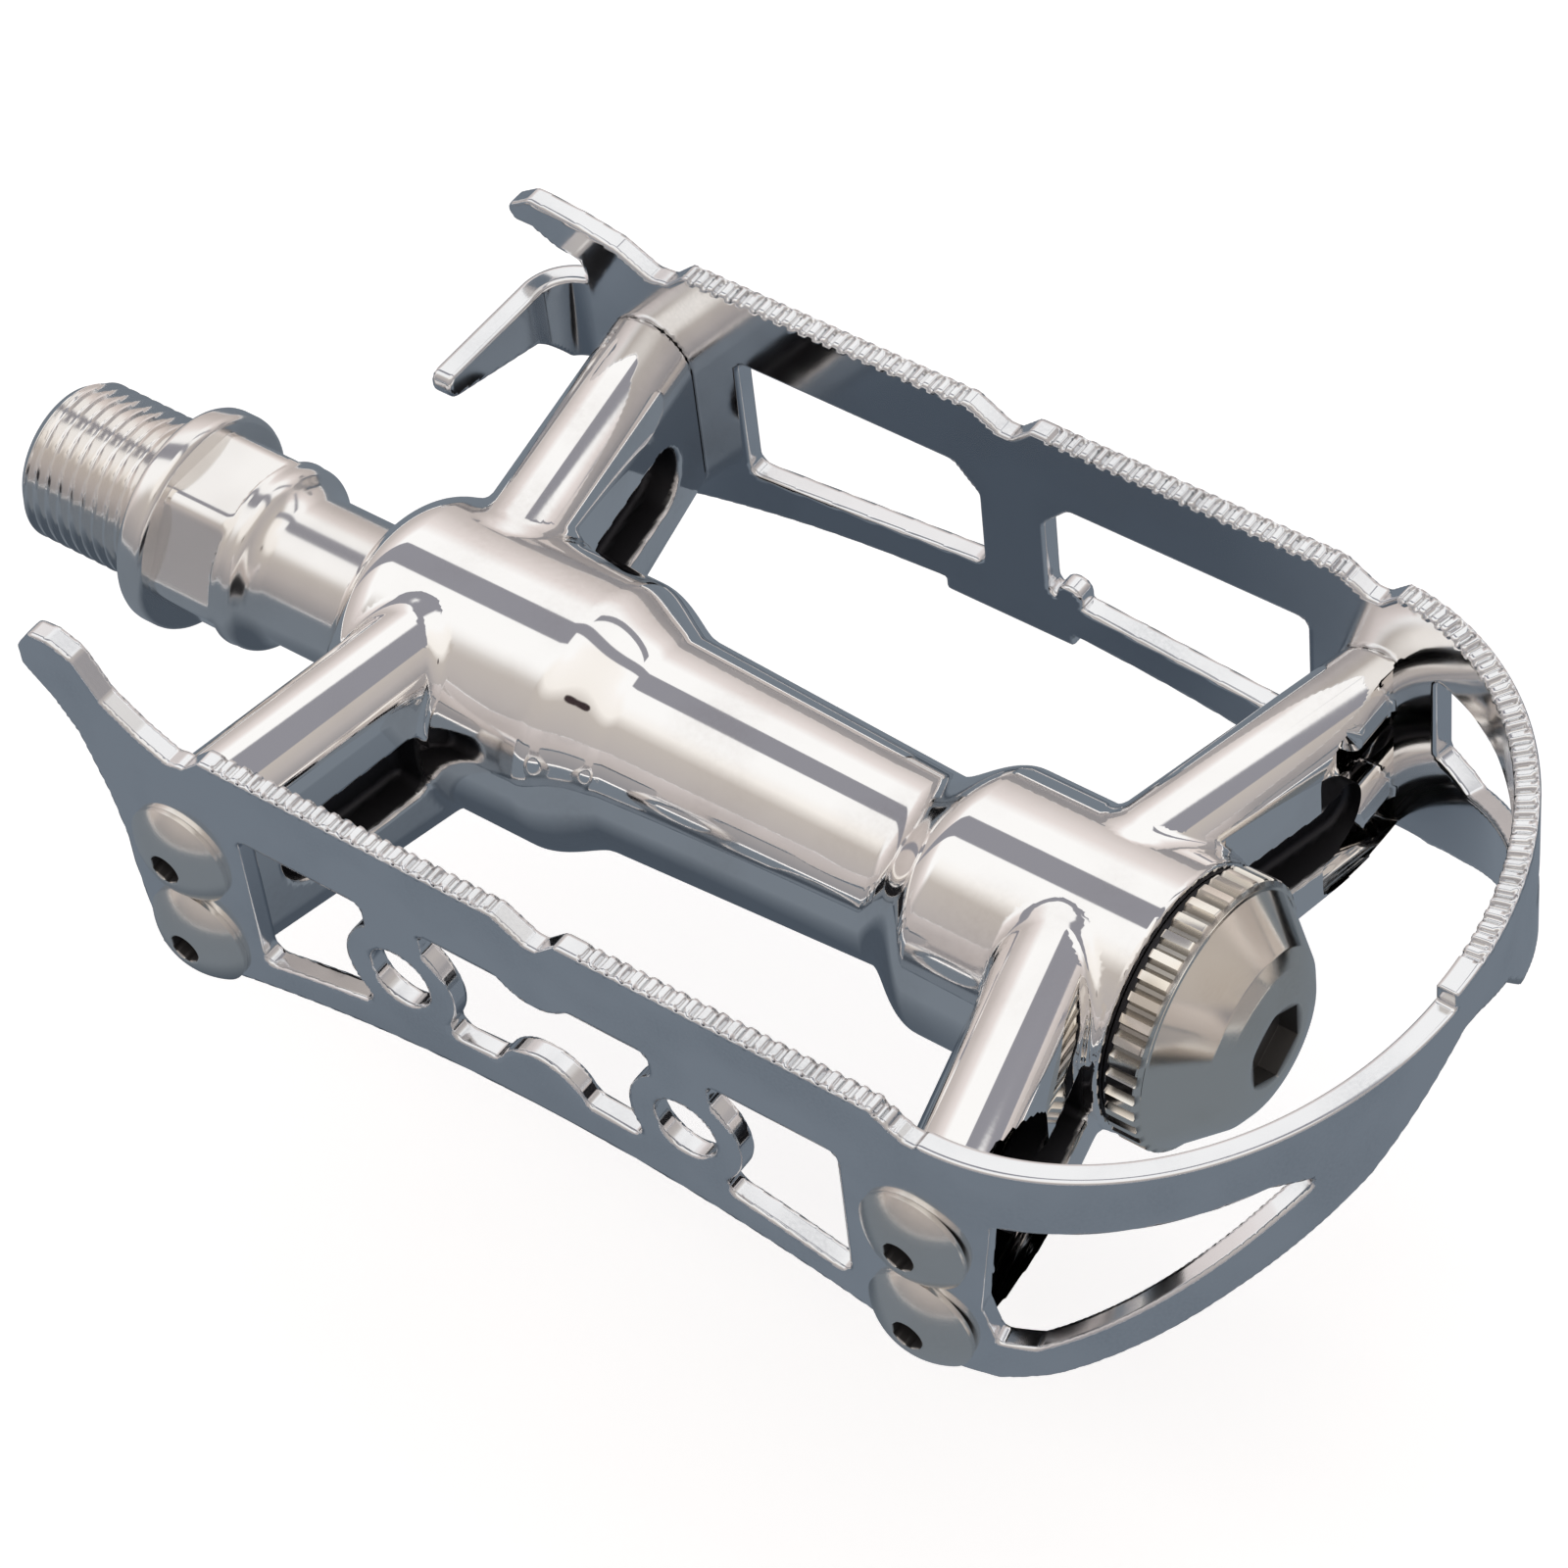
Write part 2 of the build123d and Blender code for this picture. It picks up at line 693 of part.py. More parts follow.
def hook():
    """The lower horn of the rear plate, bent inwards and tapering to its tip."""
    center_x = cage_inboard_edge - 0.2
    center_y = cage_half_width - hook_outer_radius
    inner = hook_outer_radius - cage_thickness
    ring = Circle(hook_outer_radius) - Circle(inner)
    quarter = Pos(-hook_outer_radius, hook_outer_radius) * Rectangle(2 * hook_outer_radius, 2 * hook_outer_radius)
    bend = Pos(center_x, center_y) * (ring & quarter)
    leg_x = center_x - hook_outer_radius + cage_thickness / 2
    leg = Pos(leg_x, (center_y + hook_end_y) / 2) * Rectangle(cage_thickness, center_y - hook_end_y)
    root_length = 3.0
    root_x = center_x + root_length / 2
    root = Pos(root_x, cage_half_width - cage_thickness / 2) * Rectangle(root_length, cage_thickness)
    bar = extrude(Pos(0, 0, hook_top - hook_root_height) * (bend + leg + root), hook_root_height)
    side = make_face(Polyline(
        (hook_end_y, hook_top),
        (hook_end_y, hook_top - hook_tip_height),
        (center_y - 1.0, hook_top - hook_middle_height),
        (center_y + 2.6, hook_top - hook_root_height),
        (cage_half_width + 1, hook_top - hook_root_height),
        (cage_half_width + 1, hook_top),
        close=True,
    ))
    across = Plane(origin=(center_x - hook_outer_radius - 1, 0, 0), x_dir=(0, 1, 0), z_dir=(1, 0, 0))
    tapered = bar & extrude(across * softened(side, hook_tip_round), hook_outer_radius + root_length + 2)
    return tapered


def make_cage():
    band = strip()
    wide = cage_half_width + 5
    high = front_horn_top + 4
    flat_top = Pos(cage_bend_start, 0, (cage_top + high) / 2) * Box(2 * wide * 4, 2 * wide, high - cage_top)
    band -= flat_top
    inboard_block = Pos(inboard_dip_x - 100, 0, 0) * Box(200, 2 * wide, 200)
    band -= inboard_block
    band -= dip_cut(inboard_dip_x, -wide, wide, ramp=False)
    band -= dip_cut(middle_dip_x, -wide, wide)
    band -= dip_cut(outboard_dip_x, 0, wide)
    band -= dip_cut(outboard_dip_x, -wide, 0, step=False)
    front_low = Pos(outboard_dip_x + 100, -wide / 2 - 1.0, (cage_bend_top + high) / 2)
    band -= front_low * Box(200, wide, high - cage_bend_top)
    band += front_horn() & strip()
    band += rear_horn() & strip()
    band -= bottom_cut()
    for side in (-1, 1):
        band -= bend_bottom(side)
    band += hook()
    tab_place = Pos(tab_start + tab_length / 2, cage_inner_y + cage_thickness / 2, cage_arch_top - tab_depth / 2)
    band += tab_place * Box(tab_length, cage_thickness, tab_depth + 1.0)
    for window in front_windows():
        band -= window
    for window in rear_windows():
        band -= window
    for x in (toe_clip_hole_inboard_x, toe_clip_hole_outboard_x):
        band -= y_bar(x, -cage_half_width - 1, -cage_inner_y + 1, toe_clip_hole_z, toe_clip_hole_radius)
    band -= bend_prism(-1, [
        (-15.6, 9.6), (-2.5, 10.5), (4.4, 11.0), (8.6, 9.4),
        (5.0, 7.3), (-7.1, -0.5), (-13.0, -4.3), (-16.0, -4.6), (-16.8, -1.0),
    ], window_corner * 0.6)
    band -= bend_prism(1, [
        (-15.2, 11.0), (-4.0, 11.6), (3.6, 11.2), (8.2, 9.6),
        (4.4, 7.6), (-4.0, 4.2), (-11.0, 1.4), (-15.2, 2.2),
    ], window_corner * 0.6)
    for name, x, side, z in screw_places():
        hole = screw_radius + screw_clearance
        band -= y_bar(x, side * (cage_inner_y - 1), side * (cage_half_width + 1), z, hole)
    return band


def make_screw(x, side, z):
    """A button head screw through the cage into an arm, pointing inwards along Y."""
    head_y = cage_half_width + seat_gap
    shank_end = cage_inner_y - screw_grip_length
    shank = y_bar(x, side * shank_end, side * (head_y + 0.5), z, screw_radius)
    rim = screw_head_rim
    dome_height = screw_head_height - rim
    sphere_radius = (screw_head_radius ** 2 + dome_height ** 2) / (2 * dome_height)
    head = y_bar(x, side * head_y, side * (head_y + screw_head_height), z, screw_head_radius)
    center_y = side * (head_y + screw_head_height - sphere_radius)
    head &= Pos(x, center_y, z) * Sphere(sphere_radius)
    prism = extrude(RegularPolygon(screw_socket_across_flats / 2, 6, major_radius=False), screw_socket_depth + 1)
    floor_y = side * (head_y + screw_head_height - screw_socket_depth)
    socket = Plane(origin=(x, floor_y, z), x_dir=(1, 0, 0), z_dir=(0, side, 0)) * prism
    return shank + head - socket


def make_dust_cap():
    face = outboard_boss_end + seat_gap
    knurl_start = face + cap_neck_length
    knurl_end = knurl_start + cap_knurl_length
    end = face + cap_length
    cap = turned([
        (face, 0),
        (face, cap_neck_radius),
        (knurl_start - 0.1, cap_neck_radius),
        (knurl_start, cap_knurl_radius - 0.3),
        (knurl_start + 0.3, cap_knurl_radius),
        (knurl_end - 0.3, cap_knurl_radius),
        (knurl_end, cap_knurl_radius - 0.3),
        (knurl_end + 0.3, cap_cone_start_radius),
        (end - cap_crown_height, cap_crown_radius),
        (end - cap_crown_height * 0.64, cap_crown_radius * 0.92),
        (end - cap_crown_height * 0.29, cap_crown_radius * 0.79),
        (end - cap_crown_height * 0.07, cap_crown_radius * 0.6),
        (end, cap_crown_radius * 0.5),
        (end, 0),
    ])
    groove_width = 2 * pi * cap_knurl_radius / cap_rib_count * 0.5
    groove = Box(cap_knurl_length - 0.6, groove_width, cap_knurl_root * 2)
    rib_middle = knurl_start + cap_knurl_length / 2
    grooves = []
    for i in range(cap_rib_count):
        turn = Rot(360.0 * i / cap_rib_count, 0, 0)
        grooves.append(turn * Pos(rib_middle, 0, cap_knurl_radius) * groove)
    cap -= grooves
    skirt_start = outboard_boss_end - cap_skirt_length
    cap += disc(skirt_start, face + 1, cap_skirt_radius)
    cap -= disc(skirt_start - 1, knurl_end - cap_wall * 0.4, cap_skirt_bore)
    cap -= turned([
        (face, 0),
        (face, cap_skirt_bore),
        (knurl_end, cap_skirt_bore),
        (end - cap_recess_depth - cap_wall, cap_crown_radius - cap_wall * 0.6),
        (end - cap_recess_depth - cap_wall, 0),
    ])
    ring_x = outboard_boss_end - ring_from_face
    groove_depth = cap_skirt_radius - 2 * ring_section_radius
    ring_room = disc(ring_x - ring_section_radius * 1.1, ring_x + ring_section_radius * 1.1, cap_skirt_radius + 1)
    ring_room -= disc(ring_x - 5, ring_x + 5, groove_depth)
    cap -= ring_room
    cap -= hex_bar(end - cap_recess_depth, end + 1, cap_recess_across_flats)
    return cap


def make_cap_ring():
    """The rubber ring in the groove of the cap's skirt."""
    center = cap_skirt_radius - ring_section_radius
    return ball_groove(outboard_boss_end - ring_from_face, center, ring_section_radius - ring_squeeze)


os.makedirs("parts", exist_ok=True)
parts = {
    "spindle": make_spindle(),
    "body": make_body(),
    "cage": make_cage(),
    "dust_ring": make_dust_ring(),
    "inboard_cup": make_inboard_cup(),
    "inboard_balls": ball_set(inboard_ball_x, inboard_pitch_radius, inboard_ball_count),
    "outboard_cup": make_outboard_cup(),
    "outboard_balls": ball_set(outboard_ball_x, outboard_pitch_radius, outboard_ball_count),
    "bearing_cone": make_cone(),
    "keyed_washer": make_keyed_washer(),
    "locknut": make_locknut(),
    "dust_cap": make_dust_cap(),
    "cap_seal_ring": make_cap_ring(),
}
for screw_name, screw_x, screw_side, screw_height in screw_places():
    parts[screw_name] = make_screw(screw_x, screw_side, screw_height)
for node, shape in parts.items():
    export_step(shape, f"parts/{node}.step")
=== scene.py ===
# %% [markdown]
# A road bicycle pedal, dressed for the camera.
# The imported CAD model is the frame: it says where each piece is and what it turns with.
# This lesson adds what CAD leaves plain: blended forging shapes, a real thread, softened edges,
# knurling, serrations and the finish of each metal. The studio comes first, because polished metal
# shows the room that it stands in.

# %% Load the frame
import bpy
import bmesh
import numpy as np
from mathutils import Matrix, Vector


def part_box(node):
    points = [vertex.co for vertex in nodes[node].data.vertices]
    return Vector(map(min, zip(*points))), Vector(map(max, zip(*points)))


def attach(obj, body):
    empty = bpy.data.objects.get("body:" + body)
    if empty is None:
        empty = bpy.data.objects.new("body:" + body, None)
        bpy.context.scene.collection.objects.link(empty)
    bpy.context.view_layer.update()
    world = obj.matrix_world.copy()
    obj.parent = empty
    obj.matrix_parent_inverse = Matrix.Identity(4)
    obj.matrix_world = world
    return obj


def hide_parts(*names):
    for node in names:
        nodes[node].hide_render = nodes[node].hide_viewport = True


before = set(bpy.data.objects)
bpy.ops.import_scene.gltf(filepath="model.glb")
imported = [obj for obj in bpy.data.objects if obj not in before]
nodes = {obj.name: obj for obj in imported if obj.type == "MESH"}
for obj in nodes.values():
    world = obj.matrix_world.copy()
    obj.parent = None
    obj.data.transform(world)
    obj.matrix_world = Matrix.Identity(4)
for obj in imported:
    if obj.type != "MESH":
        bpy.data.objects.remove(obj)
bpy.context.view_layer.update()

mm = 0.001

# %% [markdown]
# The camera stands where the photographer stood, above and to the right of the pedal's rounded end.
# Its angles were found from straight and round edges of known size. A long lens keeps lines parallel.

# %% Camera
view_azimuth, view_elevation, view_roll = np.radians([41.43, 48.409, -7.356])
camera_place = np.array([255.57, -220.07, 333.31]) * mm
towards_camera = np.array([
    np.sin(view_azimuth) * np.cos(view_elevation),
    -np.cos(view_azimuth) * np.cos(view_elevation),
    np.sin(view_elevation),
])
level = np.array([np.cos(view_azimuth), np.sin(view_azimuth), 0.0])
upright = np.cross(towards_camera, level)
camera_right = np.cos(view_roll) * level + np.sin(view_roll) * upright
camera_up = np.cos(view_roll) * upright - np.sin(view_roll) * level
camera = bpy.data.objects.new("camera", bpy.data.cameras.new("camera"))
camera.data.lens = 130.41
camera.data.sensor_width = 36.0
camera.data.clip_end = 20.0
turn = Matrix(np.column_stack([camera_right, camera_up, towards_camera]).tolist()).to_4x4()
camera.matrix_world = Matrix.Translation(Vector(camera_place.tolist())) @ turn
bpy.context.scene.collection.objects.link(camera)
bpy.context.scene.camera = camera
bpy.context.scene.view_settings.view_transform = "Standard"
print("camera at", np.round(camera_place, 3))


# %% [markdown]
# Two helpers serve every material: one turns a colour as it is written into linear light, the other
# adds a node, sets it and links it.

# %% Colour and node helpers
def linear(code):
    """sRGB hex to linear RGBA: a straight line near black, a 2.4 power curve above it."""
    part = np.array([int(code[i:i + 2], 16) for i in (1, 3, 5)]) / 255
    light = np.where(part <= 0.04045, part / 12.92, ((part + 0.055) / 1.055) ** 2.4)
    return (*light.tolist(), 1.0)


def add(tree, kind, inputs=None, **settings):
    """Adds one node with its settings. Each input is a value or the socket that feeds it."""
    made = tree.nodes.new("ShaderNode" + kind)
    for key, value in settings.items():
        setattr(made, key, value)
    for key, value in (inputs or {}).items():
        if isinstance(value, bpy.types.NodeSocket):
            tree.links.new(value, made.inputs[key])
        else:
            made.inputs[key].default_value = value
    return made


def set_stops(ramp, stops):
    """Fills a colour ramp from (place, hex) pairs."""
    elements = ramp.color_ramp.elements
    while len(elements) < len(stops):
        elements.new(1.0)
    for element, (place, code) in zip(elements, stops):
        element.position = place
        element.color = linear(code)


# %% [markdown]
# The studio is a white tent that turns warmer and darker towards its foot, with grey cards
# overhead. Polished metal shows a card as a grey stripe with sharp edges, which is what makes the
# barrel and the arms look polished. The tent is painted on the world by direction, so that it is
# soft and endless. Its near wall stands behind the camera and its far wall faces it.

# %% Studio tent
wall_blend = 0.12
world = bpy.data.worlds.new("studio_tent")
bpy.context.scene.world = world
world.use_nodes = True
sky = world.node_tree
sky.nodes.clear()
ray = add(sky, "TexCoord").outputs["Generated"]
parts = add(sky, "SeparateXYZ", {0: ray})
away = np.array([-np.sin(view_azimuth), np.cos(view_azimuth), 0.0])
away_share = add(sky, "VectorMath", {0: ray, 1: away.tolist()}, operation="DOT_PRODUCT")
steepness = add(sky, "Math", {0: parts.outputs["Z"]}, operation="ARCCOSINE")
from_zenith = add(sky, "Math", {0: steepness.outputs[0], 1: np.pi}, operation="DIVIDE")

far_wall = add(sky, "ValToRGB", {"Fac": from_zenith.outputs[0]})
set_stops(far_wall, [
    (0.00, "#ffffff"), (0.27, "#ffffff"), (0.32, "#e9e1df"), (0.42, "#c9c1be"),
    (0.50, "#bdb5b2"), (0.58, "#aca8a5"), (0.66, "#92929a"), (1.00, "#7f858e"),
])
near_wall = add(sky, "ValToRGB", {"Fac": from_zenith.outputs[0]})
set_stops(near_wall, [
    (0.00, "#ffffff"), (0.03, "#ffffff"), (0.08, "#fdfaf7"), (0.18, "#f8f4ef"), (0.24, "#c2bbb5"),
    (0.36, "#b8b2b0"), (0.53, "#8a8a8f"), (0.56, "#4c505a"), (0.66, "#4c505a"), (0.74, "#868b94"),
])
side_mix = add(sky, "MapRange", {"Value": away_share.outputs["Value"], "From Min": -wall_blend,
                                 "From Max": wall_blend}, interpolation_type="SMOOTHSTEP")
walls = add(sky, "Mix", {"Factor": side_mix.outputs[0], "A": near_wall.outputs[0],
                         "B": far_wall.outputs[0]}, data_type="RGBA")
print("tent colours:", len(far_wall.color_ramp.elements) + len(near_wall.color_ramp.elements))

# %% [markdown]
# The grey cards hang level over the pedal. Seen from below, a level strip is bounded by the ratios
# y/z and x/z of the ray. A wide card covers the crank side, a narrow bar carries on over the rest of
# the pedal, and a thin wing leans away from it.

# %% Overhead cards
card_near, card_far, card_end = 0.05, 0.445, -0.28
bar_near, bar_end = 0.25, 0.85
wing_near, wing_far, wing_lean, wing_start, wing_end = 0.60, 0.80, 0.75, -0.06, 1.6
side_blend, card_end_blend, far_end_blend, wing_start_blend, horizon_blend = 0.02, 0.06, 0.05, 0.03, 0.02
card_grey = linear("#92929a")
across_ratio = add(sky, "Math", {0: parts.outputs["Y"], 1: parts.outputs["Z"]}, operation="DIVIDE")
along_ratio = add(sky, "Math", {0: parts.outputs["X"], 1: parts.outputs["Z"]}, operation="DIVIDE")
leaning = add(sky, "Math", {0: along_ratio.outputs[0], 1: -wing_lean, 2: across_ratio.outputs[0]},
              operation="MULTIPLY_ADD")


def strip_of_sky(limits):
    """1 inside every limit, 0 outside: the product of one ramp for each limit.

    A limit is a ratio, where its ramp starts and where it is full.
    """
    above = add(sky, "MapRange", {"Value": parts.outputs["Z"], "From Min": 0.0, "From Max": horizon_blend})
    share = above.outputs[0]
    for ratio, low, high in limits:
        edge = add(sky, "MapRange", {"Value": ratio.outputs[0], "From Min": low, "From Max": high})
        share = add(sky, "Math", {0: share, 1: edge.outputs[0]}, operation="MULTIPLY").outputs[0]
    return share


far_side = (across_ratio, card_far + side_blend, card_far)
card = strip_of_sky([(across_ratio, card_near, card_near + side_blend), far_side,
                     (along_ratio, card_end + card_end_blend, card_end)])
bar = strip_of_sky([(across_ratio, bar_near, bar_near + side_blend), far_side,
                    (along_ratio, bar_end + far_end_blend, bar_end)])
wing = strip_of_sky([(leaning, wing_near, wing_near + side_blend),
                     (leaning, wing_far + side_blend, wing_far),
                     (along_ratio, wing_start - wing_start_blend, wing_start),
                     (along_ratio, wing_end + far_end_blend, wing_end)])
cards = add(sky, "Math", {0: card, 1: bar}, operation="MAXIMUM").outputs[0]
cards = add(sky, "Math", {0: cards, 1: wing}, operation="MAXIMUM").outputs[0]
with_cards = add(sky, "Mix", {"Factor": cards, "A": walls.outputs["Result"], "B": card_grey},
                 data_type="RGBA")
print("cards cover y/z from", card_near, "to", card_far, "and the wing from", wing_near, "to", wing_far)

# %% [markdown]
# The tent has a round hole through which the camera looks. Polished domes and slopes that face the
# camera show it as a small dark dot, so it is painted on the world too, round the camera's direction.

# %% Lens
lens_rim, lens_core, lens_dark = 0.9982, 0.9991, linear("#3a3032")
lens_share = add(sky, "VectorMath", {0: ray, 1: towards_camera.tolist()}, operation="DOT_PRODUCT")
lens = add(sky, "MapRange", {"Value": lens_share.outputs["Value"], "From Min": lens_rim,
                             "From Max": lens_core})
with_lens = add(sky, "Mix", {"Factor": lens.outputs[0], "A": with_cards.outputs["Result"], "B": lens_dark},
                data_type="RGBA")
print("lens hole:", round(2 * float(np.degrees(np.arccos(lens_rim))), 1), "degrees across")

# %% [markdown]
# The camera itself sees plain white behind the pedal, and so does anything transparent.

# %% World output
paths = add(sky, "LightPath")
plain = add(sky, "Math", {0: paths.outputs["Is Camera Ray"], 1: paths.outputs["Is Transmission Ray"]},
            operation="MAXIMUM")
seen = add(sky, "Mix", {"Factor": plain.outputs[0], "A": with_lens.outputs["Result"], "B": (1, 1, 1, 1)},
           data_type="RGBA")
tent = add(sky, "Background", {"Color": seen.outputs["Result"], "Strength": 1.0})
add(sky, "OutputWorld", {"Surface": tent.outputs[0]})
print("world nodes:", len(sky.nodes))


# %% [markdown]
# The body is one aluminium forging: two bosses, a tapering barrel between them and four arms, all
# blended where they meet. Such blends are hard to draw as separate surfaces. A distance formula is
# the easier way: it says how far any point is from the metal, shapes are joined by taking the
# smaller distance, and a rounded join gives the fillet.

# %% Joining and cutting distances
def joined(a, b, radius):
    """The smaller distance, with a fillet of the radius where both are near."""
    u, v = np.maximum(radius - a, 0), np.maximum(radius - b, 0)
    return np.maximum(radius, np.minimum(a, b)) - np.hypot(u, v)


def common(a, b, radius):
    """The larger distance, with a rounded edge of the radius where both are near."""
    u, v = np.maximum(radius + a, 0), np.maximum(radius + b, 0)
    return np.minimum(-radius, np.maximum(a, b)) + np.hypot(u, v)


# %% [markdown]
# A net of points is laid where the formula is zero. Space is cut into small cubes, and each cube
# that the surface passes through gets one point of the net.

# %% Surface net
def surface_net(field, low, high, cell):
    """Points and four-sided faces where field(p) is zero.

    Each cell whose corners differ in sign gets a point at the mean of its edges' crossings, and
    each grid edge that crosses zero gets a face through the four cells round it.
    """
    axes = [np.arange(a, b + cell, cell) for a, b in zip(low, high)]
    grid = np.stack(np.meshgrid(*axes, indexing="ij"), -1)
    value = field(grid.reshape(-1, 3)).reshape(grid.shape[:3])
    inside = value < 0
    shape = tuple(n - 1 for n in inside.shape)
    corner = [(i, j, k) for i in (0, 1) for j in (0, 1) for k in (0, 1)]
    count = sum(inside[i:i + shape[0], j:j + shape[1], k:k + shape[2]].astype(int) for i, j, k in corner)
    cells = np.argwhere((count > 0) & (count < 8))
    number = np.full(shape, -1)
    number[tuple(cells.T)] = np.arange(len(cells))
    total, crossings = np.zeros((len(cells), 3)), np.zeros(len(cells))
    for start in corner:
        for axis in range(3):
            if start[axis]:
                continue
            end = tuple(1 if n == axis else s for n, s in enumerate(start))
            v0, v1 = value[tuple((cells + start).T)], value[tuple((cells + end).T)]
            hit = (v0 < 0) != (v1 < 0)
            share = np.where(hit, v0 / np.where(hit, v0 - v1, 1), 0)
            place = np.tile(np.array(start, float), (len(cells), 1))
            place[:, axis] = share
            total += place * hit[:, None]
            crossings += hit
    points = (cells + total / crossings[:, None]) * cell + np.array(low)
    faces = []
    for axis in range(3):
        one, two = (axis + 1) % 3, (axis + 2) % 3
        first = np.take(inside, range(inside.shape[axis] - 1), axis)
        second = np.take(inside, range(1, inside.shape[axis]), axis)
        edge = np.argwhere(first != second)
        edge = edge[(edge[:, one] > 0) & (edge[:, two] > 0)]
        edge = edge[(edge[:, one] < shape[one]) & (edge[:, two] < shape[two])]
        step_one, step_two = np.eye(3, dtype=int)[one], np.eye(3, dtype=int)[two]
        ring = [edge, edge - step_one, edge - step_one - step_two, edge - step_two]
        quad = np.stack([number[tuple(c.T)] for c in ring], -1)
        leaving = first[tuple(edge.T)]
        faces.append(np.where(leaving[:, None], quad, quad[:, ::-1]))
    return points, np.vstack(faces)


# %% [markdown]
# Points of the net lie near the surface and not on it. A few steps down the formula's slope, each as
# long as the distance that is left, put them on it, and the slope is also the normal there.

# %% Slope and normals
def slope(field, points, step=0.01):
    """The field's gradient by central differences."""
    shifts = np.eye(3) * step
    return np.stack([(field(points + s) - field(points - s)) / (2 * step) for s in shifts], -1)


def laid_on(field, points, rounds=4, limit=0.3):
    """Moves points onto the zero surface along the gradient, and returns them with their normals."""
    for _ in range(rounds):
        gradient = slope(field, points)
        size = (gradient ** 2).sum(-1) + 1e-9
        move = -(field(points) / size)[:, None] * gradient
        length = np.linalg.norm(move, axis=-1, keepdims=True)
        points = points + move * np.minimum(1, limit / np.maximum(length, 1e-9))
    gradient = slope(field, points)
    return points, gradient / (np.linalg.norm(gradient, axis=-1, keepdims=True) + 1e-9)


# %% [markdown]
# Every size of the body repeats the CAD model's, in millimetres, so the two lie on each other. An
# arm is given by where it leaves the axis, where it meets the plate, and its side.

# %% Body sizes
boss_start, boss_end, dome_length, dome_radius = 21.6, 43.6, 4.5, 6.6
inner_boss, outer_boss = 11.6, 11.3
barrel_start, barrel_end = 48.5, 74.5
barrel_radius, barrel_end_radius = 9.3, 8.1
outer_start, outer_end = 79.6, 98.0
arm_half, arm_top = 4.25, 10.6
arm_low_root, arm_low_end = -10.9, -8.7
arm_root_y, plate_inner_y = 6.0, 29.8
pocket_start, pocket_end, pocket_half, pocket_depth = 9.0, 25.4, 3.25, 3.1
arm_fillet, least_fillet, fillet_from, fillet_run = 0.8, 0.02, 3.0, 3.0
pocket_draft, pocket_floor_round, forged_edge = 0.14, 0.5, 0.35
arm_end_gap, arm_end_round = 0.05, 0.2
arms = [(30.6, 26.6, -1), (30.6, 26.6, 1), (91.3, 97.4, -1), (91.3, 97.4, 1)]
screw_spots = [(26.8, 4.8), (26.8, -4.8), (96.25, 4.8), (96.25, -4.8)]
screw_hole_radius, screw_hole_from_y = 2.02, 25.4
bores, last_bore = [(30.6, 9.01), (82.9, 6.3), (92.95, 8.51)], 9.52
print("body from x", boss_start, "to", outer_end, "with", len(arms), "arms and", len(bores) + 1, "bores")


def smooth_step(t):
    """0 to 1 with level ends: 3t^2 - 2t^3."""
    t = np.clip(t, 0, 1)
    return t * t * (3 - 2 * t)


# %% [markdown]
# The middle of the body is round about the axis, apart from its arms: two bosses and a tapering
# barrel, with a soft slope from each to the next.

# %% Bosses and barrel
first_lead, first_spread, first_reach = 0.6, 1.6, 1.0
last_lead, last_spread = 0.5, 1.0


def body_radius(x):
    """Radius of the turned middle: boss, hollow slope, barrel, slope, boss."""
    r = np.interp(x, [boss_end, barrel_start, barrel_end, outer_start],
                  [inner_boss, barrel_radius, barrel_end_radius, outer_boss])
    down = smooth_step((x - boss_end + first_lead) / (barrel_start - boss_end + first_spread))
    up = smooth_step((x - barrel_end + last_lead) / (outer_start - barrel_end + last_spread))
    r = np.where(x < barrel_start + first_reach, inner_boss + (barrel_radius - inner_boss) * down, r)
    return np.where(x > barrel_end - last_lead, barrel_end_radius + (outer_boss - barrel_end_radius) * up, r)


def turned_distance(p):
    """Distance to the bosses and barrel: height over the radius, divided by the slope's stretch."""
    x, r = p[:, 0], np.hypot(p[:, 1], p[:, 2])
    rise = (body_radius(x + 0.05) - body_radius(x - 0.05)) / 0.1
    side = (r - body_radius(x)) / np.sqrt(1 + rise ** 2)
    dome_x = (boss_start + dome_length - x) / dome_length
    dome_r = np.maximum(r - dome_radius, 0) / (inner_boss - dome_radius)
    k = np.hypot(dome_x, dome_r) + 1e-9
    stretch = np.hypot(dome_x / dome_length, dome_r / (inner_boss - dome_radius)) + 1e-9
    side = np.where(x < boss_start + dome_length, k * (k - 1) / stretch, side)
    return common(side, x - outer_end, forged_edge)


# %% [markdown]
# Each arm leans outwards from its boss to the plate. It is an upright bar with a round top and
# bottom, hollowed on both flanks, which is how a forging saves weight.

# %% Arms
shade_rough_reach, shade_rough_fade, shade_rough_from, shade_rough_run = 0.4, 0.3, 0.1, 0.4


